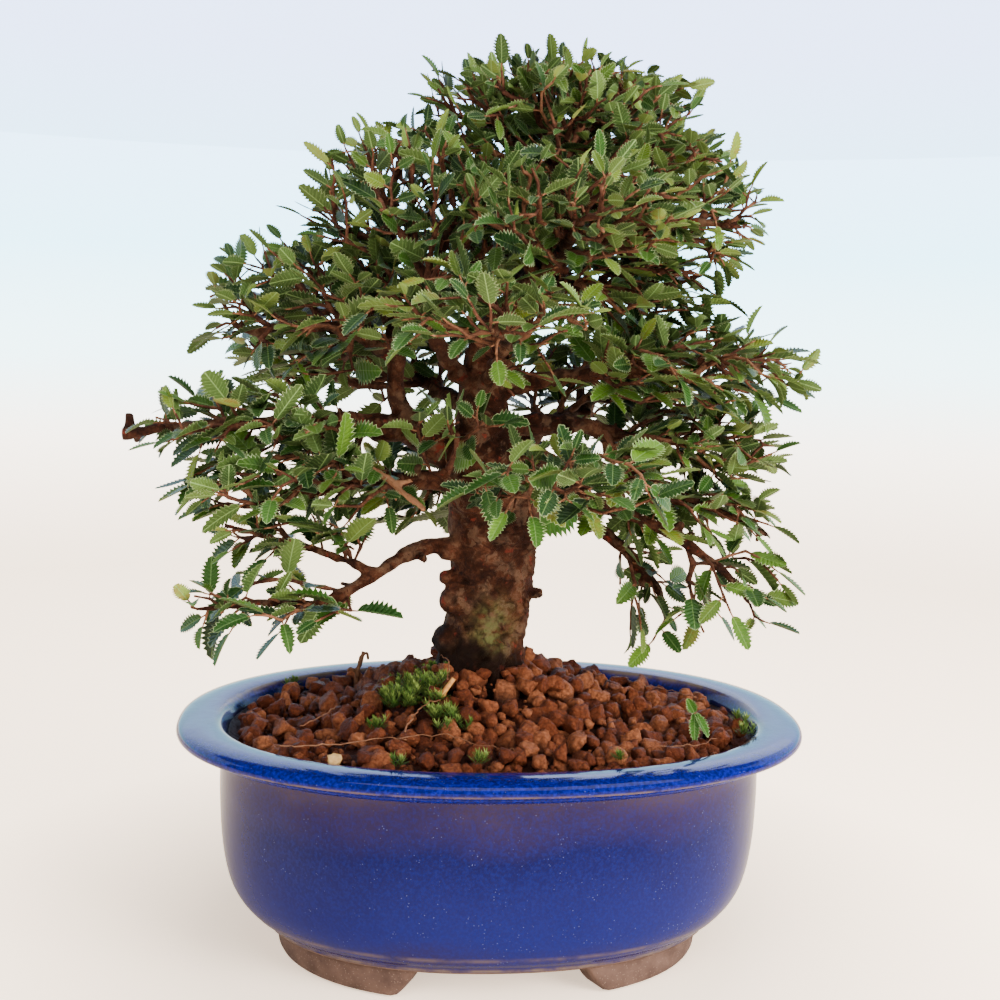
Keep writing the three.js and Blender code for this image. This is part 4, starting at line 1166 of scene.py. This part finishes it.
def make_wood(lines, rng):
    wood = Builder()
    samples = []
    for name, (line, radii) in lines.items():
        sides = TRUNK_SIDES if name == "TRUNK" else LIMB_SIDES
        wood.add(*tube(line, radii, sides))
        samples.extend((p, r, name in BARE_LIMBS and k > 5) for k, (p, r) in enumerate(zip(line, radii)))
        if name != "TRUNK":
            for points, stub_radii in limb_stubs(line, radii, rng):
                wood.add(*tube(points, stub_radii, 10))
    sphere, sphere_faces = ball(3)
    for x, y, z, radius in BURLS:
        wood.add(sphere * radius + (x, y, z), sphere_faces)
        samples.append((np.array([x, y, z]), radius, False))
    for start, end, radius in CUTS:
        middle = (np.array(start) + np.array(end)) / 2
        wood.add(*tube([start, middle, end], [radius * 1.25, radius * 1.05, radius * 0.9], 14))
    for root in ROOTS:
        wood.add(*tube(catmull(root, 4), np.linspace(4.6, 1.6, 9), 12))
    points, normals, faces = remeshed(wood, VOXEL)
    tree = kdtree.KDTree(len(samples))
    for i, (p, _, _) in enumerate(samples):
        tree.insert(Vector(p), i)
    tree.balance()
    moved, tones = [], []
    for p, n in zip(points, normals):
        _, i, _ = tree.find(Vector(p))
        reach = min(samples[i][1], 12)
        collar = bell(p[2], 112, 15) * (reach > 6)
        lumps = noise.fractal(Vector(p / 9), 0.9, 2.1, 4)
        upright = Vector((p[0] / 4, p[1] / 4, p[2] / 5.5))
        flakes = noise.ridged_multi_fractal(upright, 0.9, 2.2, 4, 1.0, 2.0) - 1.0
        bands = noise.fractal(Vector((p[0] / 11, p[1] / 11, p[2] / 2.4)), 0.8, 2.0, 3)
        knots = noise.fractal(Vector(p / 4.2 + 3), 0.9, 2.1, 3)
        lift = 0.10 * reach * lumps + 0.070 * reach * knots + 0.060 * reach * flakes + 1.7 * collar * bands
        pit = noise.noise(Vector(p / 3.1 + 7))
        if pit > 0.36 and reach > 2:
            lift -= (pit - 0.36) * 0.6 * reach
        moved.append(p + n * lift)
        # Painted shade: the wood is darkened where its relief sinks in; it is also darker near the soil and
        # round the collar.
        near_soil = np.clip((76 + 9 * lumps + 8 * np.clip(-4 - p[0], 0, 1) - p[2]) / 4, 0, 1)
        hollow_shade = np.clip(-lift / (0.13 * reach + 0.1), 0, 1) * 0.75
        bare = 0.85 if samples[i][2] else 0
        algae = bell(np.linalg.norm((p - np.array([-1, -7, 84])) / (7, 9, 8)), 0, 0.8)
        tones.append((max(near_soil, hollow_shade * (1 - bare), 0.5 * collar), algae, bare))
    trunk = new_object("trunk_and_limbs", np.array(moved), faces, [BARK])
    point_values(trunk, "tone", np.array(tones))
    piece(trunk, "bark", "trunk")


# Foliage
def leaf_width(along):
    """How wide a blade is there, before its teeth: round at the foot, a blunt point at the tip."""
    return math.sin(math.pi * along**0.94) ** 0.58


def leaf_template():
    """A blade's rim and midrib as (along, across) with 1 at the tip and at the widest point, and the
    triangles of its upper and lower face. The rim is shared, so that the blade is closed."""
    side = [(0.07, 1), (0.17, 1)]
    for k in range(LEAF_TEETH):
        start = TOOTHED_FROM + k * TOOTH_STEP
        side.append((start, 0.76))
        side.append((start + 0.82 * TOOTH_STEP, 1.19))
    rim = [(u, factor * leaf_width(u)) for u, factor in side]
    mids = [(i + 1) / (LEAF_MID_POINTS + 1) for i in range(LEAF_MID_POINTS)]
    points = [(0, 0, 0, 1), (1, 0, 0, 1)]
    right = list(range(2, 2 + len(rim)))
    points += [(u, v, 0, 1) for u, v in rim]
    left = list(range(len(points), len(points) + len(rim)))
    points += [(u, -v, 0, 1) for u, v in rim]
    top = list(range(len(points), len(points) + len(mids)))
    points += [(u, 0, 1, 0) for u in mids]
    low = list(range(len(points), len(points) + len(mids)))
    points += [(u, 0, -1, 0) for u in mids]
    points = np.array(points)

    def strip(middle, edge, flip):
        a, b = [0, *middle, 1], [0, *edge, 1]
        i = j = 0
        faces = []
        while i < len(a) - 1 or j < len(b) - 1:
            step_a = i < len(a) - 1 and (j == len(b) - 1 or points[a[i + 1], 0] <= points[b[j + 1], 0])
            if step_a:
                face = [a[i], b[j], a[i + 1]]
                i += 1
            else:
                face = [a[i], b[j], b[j + 1]]
                j += 1
            if len(set(face)) == 3:
                faces.append(face[::-1] if flip else face)
        return faces

    upper = strip(top, right, True) + strip(top, left, False)
    lower = strip(low, right, False) + strip(low, left, True)
    return points, np.array(upper), np.array(lower)


LEAF_POINTS, LEAF_UPPER, LEAF_LOWER = leaf_template()


def leaf_meshes(name, leaves):
    """One mesh of many blades. Each leaf is (base, direction, normal, length, width, curl, fold, young,
    chance, shade)."""
    base = np.array([leaf[0] for leaf in leaves])
    along = np.array([leaf[1] for leaf in leaves])
    normal = np.array([leaf[2] for leaf in leaves])
    length, width, curl, fold, young, chance, shade = np.array([leaf[3:] for leaf in leaves]).T
    across = np.cross(normal, along)
    u, v, side, rim = LEAF_POINTS.T
    bend = curl[:, None] * u[None, :]
    curved = np.abs(bend) > 1e-3
    divisor = np.where(curved, bend, 1)
    flat = np.where(curved, np.sin(bend) / divisor, 1) * u
    drop = np.where(curved, (1 - np.cos(bend)) / divisor, bend / 2) * u
    x = length[:, None] * flat
    y = width[:, None] * v[None, :] * np.cos(fold)[:, None]
    thick = LEAF_HALF_THICKNESS * side[None, :]
    z = -length[:, None] * drop + width[:, None] * np.abs(v)[None, :] * np.sin(fold)[:, None] + thick
    points = (
        base[:, None, :] + x[..., None] * along[:, None, :] + y[..., None] * across[:, None, :]
        + z[..., None] * normal[:, None, :]
    )
    inside = ((points > BOX_LOW + 0.4) & (points < BOX_HIGH - 0.4)).all(axis=(1, 2))
    points, y = points[inside], y[inside]
    kept = len(points)
    size = len(LEAF_POINTS)
    starts = np.arange(kept)[:, None, None] * size
    upper = (LEAF_UPPER[None] + starts).reshape(-1, 3)
    lower = (LEAF_LOWER[None] + starts).reshape(-1, 3)
    made = new_object(name, points.reshape(-1, 3), np.concatenate([upper, lower]), [LEAF_TOP, LEAF_UNDER])
    index = np.zeros(len(made.data.polygons), np.int32)
    index[len(upper):] = 1
    made.data.polygons.foreach_set("material_index", index)
    blade = np.stack([np.tile(u, kept), y.ravel(), np.tile(rim, kept)], 1)
    point_values(made, "blade", blade)
    tone = np.stack([young[inside], chance[inside], shade[inside]], 1)
    point_values(made, "tone", np.repeat(tone, size, axis=0))
    ends = np.zeros(len(made.data.edges) * 2, np.int32)
    made.data.edges.foreach_get("vertices", ends)
    on_rim = (rim > 0.5)[ends.reshape(-1, 2) % size].all(axis=1)
    sharp = made.data.attributes.new("sharp_edge", "BOOLEAN", "EDGE")
    sharp.data.foreach_set("value", on_rim)
    return made


class Shoots:
    """A lobe's twigs: points joined to their parents, grown from the lobe's limbs."""

    def __init__(self, name, lines, rng):
        self.rng = rng
        self.place, self.parent, self.path, self.bark = [], [], [], []
        self.centre, self.radii = np.array(LOBES[name][0], float), np.array(LOBES[name][1], float)
        self.fullness = LOBES[name][3]
        self.origin = lines[LOBES[name][2][0]][0][-20 if LOBES[name][2][0] == "TRUNK" else 0]
        for limb_name in LOBES[name][2]:
            line, _ = lines[limb_name]
            outer = line[-20:] if limb_name == "TRUNK" else line[len(line) // 5:]
            way = 0.0
            for k, p in enumerate(outer):
                way += np.linalg.norm(p - outer[max(k - 1, 0)])
                self.place.append(p)
                self.parent.append(-1)
                self.path.append(way)
                self.bark.append(True)

    def targets(self):
        a, b, c = self.radii
        area = 4 * math.pi * (((a * b) ** 1.6 + (a * c) ** 1.6 + (b * c) ** 1.6) / 3) ** (1 / 1.6)
        count = int(1.35 * area * self.fullness / TARGET_SPACING**2)
        golden = math.pi * (3 - math.sqrt(5))
        out = []
        for i in range(count):
            height = 1 - 2 * (i + 0.5) / count
            angle = golden * i + self.rng.normal(0, 0.15)
            flat = math.sqrt(1 - height * height)
            way = np.array([flat * math.cos(angle), flat * math.sin(angle), height])
            low, high = (0.77, 0.96) if self.rng.uniform() < OUTER_SHARE else (0.35, 0.78)
            reach = self.rng.uniform(low, high)
            if height < -0.55 and self.rng.uniform() < 0.5:
                continue
            goal = self.centre + way * self.radii * reach
            goal[2] = min(goal[2], BOX_HIGH[2] - CROWN_CLEARANCE - self.rng.uniform(0, 5))
            out.append(goal)
        return out

    def grow(self):
        goals = self.targets()
        roots = np.array(self.place)
        goals.sort(key=lambda g: np.linalg.norm(roots - g, axis=1).min())
        for goal in goals:
            places = np.array(self.place)
            away = np.linalg.norm(places - goal, axis=1)
            turn = 1 - (goal - places) @ unit(goal - self.origin) / np.maximum(away, 0.1)
            start = int(np.argmin(away * (1 + TURN_WEIGHT * turn) + PATH_WEIGHT * np.array(self.path)))
            if away[start] < 3.0:
                continue
            steps = max(2, round(away[start] / INTERNODE))
            origin = places[start]
            sideways = self.rng.standard_normal(3) * 0.05 * away[start]
            sideways[2] += 0.04 * away[start]
            last = start
            for k in range(1, steps + 1):
                t = k / steps
                zigzag = self.rng.normal(0, 0.30, 3)
                p = origin + (goal - origin) * t + sideways * 4 * t * (1 - t) + zigzag
                self.place.append(p)
                self.parent.append(last)
                self.path.append(self.path[last] + INTERNODE)
                self.bark.append(False)
                last = len(self.place) - 1

    def finish(self):
        count = len(self.place)
        self.children = [[] for _ in range(count)]
        for i, parent in enumerate(self.parent):
            if parent >= 0:
                self.children[parent].append(i)
        power = 2.4
        self.radius = np.full(count, TWIG_TIP_RADIUS)
        for i in range(count - 1, -1, -1):
            if self.bark[i]:
                continue
            own = sum(self.radius[c] ** power for c in self.children[i]) ** (1 / power)
            self.radius[i] = max(TWIG_TIP_RADIUS, min(own * 1.04, 1.0))


def shoot_lines(shoots):
    """Unbranched runs of points from a limb or a fork to a tip: the thickest child carries on."""
    lines = []
    starts = [(i, c) for i in range(len(shoots.place)) if shoots.bark[i] for c in shoots.children[i]]
    while starts:
        origin, first = starts.pop()
        run = [origin, first]
        while shoots.children[run[-1]]:
            following = sorted(shoots.children[run[-1]], key=lambda c: -shoots.radius[c])
            starts.extend((run[-1], c) for c in following[1:])
            run.append(following[0])
        lines.append(run)
    return lines


def with_middles(rows):
    """Rows of numbers with the middle of each pair put between them."""
    out = np.empty((2 * len(rows) - 1, rows.shape[1]))
    out[::2] = rows
    out[1::2] = (rows[:-1] + rows[1:]) / 2
    return out


FOLIAGE_SEED = 100
CROWN_MIDDLE = np.array([0.0, 2.0, 150.0])
UP = np.array([0.0, 0.0, 1.0])


def leaves_and_twigs(name, lines, seed):
    rng = np.random.default_rng(seed)
    shoots = Shoots(name, lines, rng)
    shoots.grow()
    shoots.finish()
    twigs = Builder()
    leaves = []
    for run in shoot_lines(shoots):
        places = np.array([shoots.place[i] for i in run])
        radii = np.array([min(shoots.radius[i], shoots.radius[run[1]]) for i in run])
        radii = np.minimum(radii, radii[1])
        radii[-1] *= 0.8
        fine = with_middles(np.column_stack([places, radii]))
        swell = np.where(np.arange(len(fine)) % 2 == 0, 1.22, 0.90)
        thick = fine[:, 3] * swell
        pale = rng.uniform(0, 0.5) if rng.uniform() < 0.3 else 0
        end = np.linspace(0, 1, len(fine))
        tone = np.repeat(np.stack([pale + 0 * end, 0.3 * (1 - end), 0 * end], 1), TWIG_SIDES, axis=0)
        twigs.add(*tube(fine[:, :3], thick, TWIG_SIDES), tone)
        run_length = np.linalg.norm(np.diff(places, axis=0), axis=1).sum()
        outward = unit(places[-1] - CROWN_MIDDLE)
        high = float(np.clip((places[-1][2] - 170) / 50, 0, 1))
        plane = unit(UP + outward * 0.50 + rng.normal(0, 0.24 + 0.30 * high, 3))
        bare_tip = rng.uniform() < 0.12
        side_sign = 1 if rng.uniform() < 0.5 else -1
        way = 0.0
        for k in range(1, len(run)):
            way += np.linalg.norm(places[k] - places[k - 1])
            last = k == len(run) - 1
            to_tip = run_length - way
            side_sign = -side_sign
            spur = to_tip > LEAFY_LENGTH
            if (spur and rng.uniform() > SPUR_SHARE) or (last and bare_tip) or rng.uniform() < 0.03:
                continue
            along = unit(places[k] - places[k - 1])
            flat = unit(plane - along * plane.dot(along))
            side = np.cross(along, flat)
            slant = rng.normal(0.15, 0.12) if last else rng.normal(0.92, 0.16)
            direction = along * math.cos(slant) + side * side_sign * math.sin(slant)
            direction = unit(direction + flat * rng.normal(0.04, 0.14))
            bank = rng.normal(0.0, 0.20)
            tilt = unit(flat - direction * flat.dot(direction))
            cross = np.cross(tilt, direction)
            tilt = unit(tilt * math.cos(bank) + cross * math.sin(bank))
            ripe = min(1.0, to_tip / 15)
            length = LEAF_LENGTH * rng.uniform(0.68, 1.14) * (0.70 + 0.30 * ripe)
            length *= 1 - CROWN_LEAF_LESS * float(np.clip((places[k][2] - 145) / 50, 0, 1))
            if way < 5 or spur:
                length *= 0.74
            width = length * rng.uniform(0.215, 0.275) * (1.15 if way < 8 else 1)
            height_share = (places[k][2] - 90) / 140
            outer_share = np.linalg.norm((places[k] - shoots.centre) / shoots.radii)
            fresh = 0.0
            if to_tip < 9 and rng.uniform() < 0.14 + 0.28 * height_share:
                fresh = rng.uniform(0.2, 0.9)
            elif rng.uniform() < 0.03:
                fresh = rng.uniform(0.2, 0.6)
            # Painted light and shade: leaves on the right side are paler and leaves high in the crown darker,
            # as the light falls on them.
            painted_light_and_shade = 0.20 * float(np.clip(places[k][0] / 50, 0, 1))
            painted_light_and_shade -= 0.12 * float(np.clip((places[k][2] - 165) / 40, 0, 1))
            # Painted shade: leaves deep inside a lobe are darker.
            shade = float(np.clip(1.12 - 1.05 * outer_share, 0, 0.72))
            foot = places[k] + direction * (1.1 + shoots.radius[run[k]])
            twigs.add(
                *tube([places[k], foot + direction * 0.5], [0.26, 0.2], STALK_SIDES),
                np.tile([0.55, 0, 0], (2 * STALK_SIDES, 1)),
            )
            leaves.append((
                foot, direction, tilt, length, width, rng.normal(0.18, 0.22), abs(rng.normal(0.32, 0.16)),
                fresh, float(np.clip(rng.uniform(0, 1) + painted_light_and_shade, 0, 1)), shade,
            ))
    blades = leaf_meshes(f"leaves_{name}", leaves)
    stands_for = [n for n in frame["nodes"] if n.startswith(f"spray_{name}_")]
    piece(blades, "leaf", *stands_for)
    piece(twigs.finish(f"twigs_{name}", [TWIG]), "bark")


def make_foliage(lines):
    for k, name in enumerate(LOBES):
        leaves_and_twigs(name, lines, FOLIAGE_SEED + k)


# Small plants and litter on the soil
MOSS_STEMS = 44
MOSS_CARPET_STEMS = 60
MOSS_LEAVES = 16


def moss_stem(base, lean, height, rng, length=3.1):
    """An upright stem with narrow pointed leaves all round, as one closed shape for each leaf."""
    shapes = []
    chance = rng.uniform(0, 1)
    for k in range(MOSS_LEAVES):
        t = (k + 1) / MOSS_LEAVES
        angle = 2.4 * k
        out = unit(np.array([math.cos(angle), math.sin(angle), 0.45 + 1.5 * t]))
        foot = base + (UP + lean) * height * t * 0.8
        reach = length * (1 - 0.30 * t) * rng.uniform(0.75, 1.2)
        side = unit(np.cross(out, UP)) * 0.20
        thick = unit(np.cross(side, out)) * 0.07
        tip = foot + out * reach
        middle = foot + out * reach * 0.45 + UP * 0.1
        points = np.array([foot, middle + side, middle + thick, middle - side, middle - thick, tip])
        bright = [0.05 * t, 0.5 * t, 0.6 * t, 0.5 * t, 0.5 * t, 0.15 + 0.85 * t]
        faces = [[0, 1, 2], [0, 2, 3], [0, 3, 4], [0, 4, 1], [5, 2, 1], [5, 3, 2], [5, 4, 3], [5, 1, 4]]
        tone = np.column_stack([bright, np.full(6, chance), np.zeros(6)])
        shapes.append((points, faces, tone))
    return shapes


def moss_spot(centre, half, rng):
    """A place in the model's moss outline, drawn to the given centre and half size."""
    while True:
        spot = rng.uniform(-1, 1, 2)
        angle = math.atan2(spot[1], spot[0])
        limit = 0.72 + 0.16 * math.sin(3 * angle + 1) + 0.1 * math.cos(5 * angle)
        if np.hypot(*spot) < limit:
            return centre + half * spot, np.hypot(*spot) / limit


def make_moss():
    rng = np.random.default_rng(77)
    clump = Builder()
    for k in range(MOSS_STEMS + MOSS_CARPET_STEMS):
        tall = k < MOSS_STEMS
        if tall:
            (x, y), share = moss_spot(MOSS_TUFT, MOSS_TUFT_HALF, rng)
        else:
            (x, y), share = moss_spot(MOSS_CENTRE, MOSS_HALF, rng)
        height = rng.uniform(1.8, 4.4) * (1.25 - 0.5 * share) if tall else rng.uniform(0.6, 1.4)
        base = np.array([x, y, soil_level(x, y) + (0.6 if tall else 0.2)])
        lean = np.array([*rng.normal(0, 0.3, 2), 0])
        for shape in moss_stem(base, lean, height, rng, 3.2 if tall else 1.8):
            clump.add(*shape)
    piece(clump.finish("moss_clump", [MOSS], False), "moss", "moss")


# Sprouts of moss: place, how many stems and how far they spread
SPROUTS = [
    (-14.5, -24.5, 16, 2.4), (-16.0, -17.0, 7, 1.5), (-13.0, -29.5, 5, 1.3), (-30.5, -24.0, 5, 1.2),
    (-7.0, -45.5, 4, 0.8), (66.0, -9.0, 5, 0.9), (65.5, -19.5, 4, 0.9), (-26.0, -44.0, 2, 0.7),
    (-54.5, 30.0, 4, 0.9), (27.0, -43.0, 2, 0.7),
]
# Root fibres on the soil: the places they pass and their radius
FIBRES = [
    ([(-55, -32.5), (-48, -34.5), (-40, -33.5), (-31, -33), (-24, -36)], 0.38),
    ([(-24, -31), (-22.5, -26), (-19.5, -21.5), (-15, -19.5)], 0.42),
    ([(-13, -12), (-12, -6), (-14, 0)], 0.35),
    ([(-32, 20), (-27, 15), (-22, 8)], 0.18),
    ([(-26, -33), (-14, -34), (-6, -40), (2, -42)], 0.22),
    ([(38, -36), (47, -34), (54, -30)], 0.25),
    ([(10, 28), (22, 32), (34, 30)], 0.3),
    ([(-50, -20), (-44, -14), (-40, -6)], 0.25),
    ([(58, 10), (52, 18), (44, 22)], 0.25),
]
STUB = [
    (-14.8, -16.5, 65, 0.8), (-14.2, -16.4, 69.6, 0.75), (-12.4, -16.2, 72.0, 0.6), (-11.4, -16, 73.4, 0.6),
]
STUB_SIDE = [(-14.4, -16.4, 68.6, 0.6), (-15.4, -17, 70.4, 0.4)]
PEBBLE = (-41.0, -41.0)
PEBBLE_RADIUS = 1.7
DEAD_TWIG = [(-36, 25.5, 53, 0.9), (-36, 25.5, 60, 0.8), (-35.6, 25, 66, 0.7), (-34.2, 24.6, 70.5, 0.6)]
# Side twigs of the dead twig: places, radius and radius at the tip
DEAD_SIDE_TWIGS = [
    ([(-34.3, 24.7, 69.8), (-33.2, 24.2, 70.4), (-32.8, 24, 68.6)], 0.4, 0.25),
    ([(-35.8, 25.2, 64), (-37.6, 24.6, 66), (-38.6, 24.4, 65.2)], 0.35, 0.2),
]
SEEDLING_STALK = [(51, -22, 54, 0.8), (51, -22, 61, 0.7), (50, -22.4, 66, 0.6)]
# The seedling's leaves: direction, the way they face, length and width
SEEDLING_LEAVES = [
    ((-0.45, -0.35, 0.75), (0.1, -0.9, -0.2), 5.0, 1.5), ((0.45, -0.55, -0.75), (0.3, -0.7, 0.7), 7.2, 1.5),
    ((-0.1, -0.6, -0.9), (-0.3, -0.9, 0.5), 7.8, 1.5),
]


def make_litter():
    rng = np.random.default_rng(9)
    sprouts = Builder()
    for x, y, count, spread in SPROUTS:
        for _ in range(count):
            base = np.array([x, y, soil_level(x, y) + 0.9]) + (*rng.normal(0, spread, 2), 0)
            lean = np.array([*rng.normal(0, 0.4, 2), 0])
            for shape in moss_stem(base, lean, rng.uniform(1.6, 3.2), rng):
                sprouts.add(*shape)
    piece(sprouts.finish("moss_sprouts", [MOSS], False), "moss")
    fibres = Builder()
    for way, radius in FIBRES:
        flat = np.array(way, float)
        level = soil_level(flat[:, 0], flat[:, 1]) + 2.6 + rng.uniform(0, 0.9, len(flat))
        line = catmull(np.column_stack([flat, level]), 6)
        line += rng.normal(0, 0.22, line.shape)
        fibres.add(*tube(line, np.linspace(radius, radius * 0.45, len(line)) * 0.65, 5))
    piece(fibres.finish("root_fibres", [FIBRE]), "dead_wood")
    stub = Builder()
    for stations, sides in ((STUB, 8), (STUB_SIDE, 7)):
        stations = np.array(stations)
        stub.add(*tube(stations[:, :3], stations[:, 3], sides))
    piece(stub.finish("cut_stub", [BARE_WOOD]), "dead_wood")
    pebble = Builder()
    sphere, faces = ball(3)
    place = (*PEBBLE, soil_level(*PEBBLE) + PEBBLE_RADIUS)
    pebble.add(granule(sphere, PEBBLE_RADIUS, rng) * (1.1, 1, 0.9) + place, faces)
    piece(pebble.finish("pale_pebble", [PALE_STONE]), "soil")


def make_small_plants():
    rng = np.random.default_rng(12)
    twig = Builder()
    line = catmull(DEAD_TWIG, 6)
    bent = line[:, :3] + rng.normal(0, 0.12, (len(line), 3))
    twig.add(*tube(bent, line[:, 3] * rng.uniform(0.8, 1.15, len(line)), 8))
    for way, radius, tip_radius in DEAD_SIDE_TWIGS:
        twig.add(*tube(catmull(way, 4), [radius] * 8 + [tip_radius], 6))
    piece(twig.finish("dead_twig_fine", [DEAD_WOOD]), "dead_wood", "dead_twig")
    stalk = Builder()
    line = catmull(SEEDLING_STALK, 5)
    stem_points, stem_faces = tube(line[:, :3], line[:, 3] * 0.75, 8)
    stalk.add(stem_points, stem_faces, np.tile([0.3, 0, 0], (len(stem_points), 1)))
    piece(stalk.finish("seedling_stalk", [TWIG]), "leaf", "seedling")
    tip = np.array(SEEDLING_STALK[-1][:3])
    leaves = []
    for direction, normal, length, width in SEEDLING_LEAVES:
        along = unit(np.array(direction))
        up = np.array(normal, float)
        up = unit(up - along * up.dot(along))
        leaves.append((tip, along, up, length, width, 0.2, 0.45, 0.0, 0.62, 0))
    blades = leaf_meshes("seedling_leaves", leaves)
    piece(blades, "leaf", "seedling")


# Scene
make_camera()
make_studio()
make_lights()
make_pot()
make_soil()
wood_lines, wood_rng = skeleton()
make_wood(wood_lines, wood_rng)
make_foliage(wood_lines)
make_moss()
make_litter()
make_small_plants()
for screen in ("drain_screen_left", "drain_screen_right"):
    for slot in frame["nodes"][screen].material_slots:
        slot.material = SCREEN
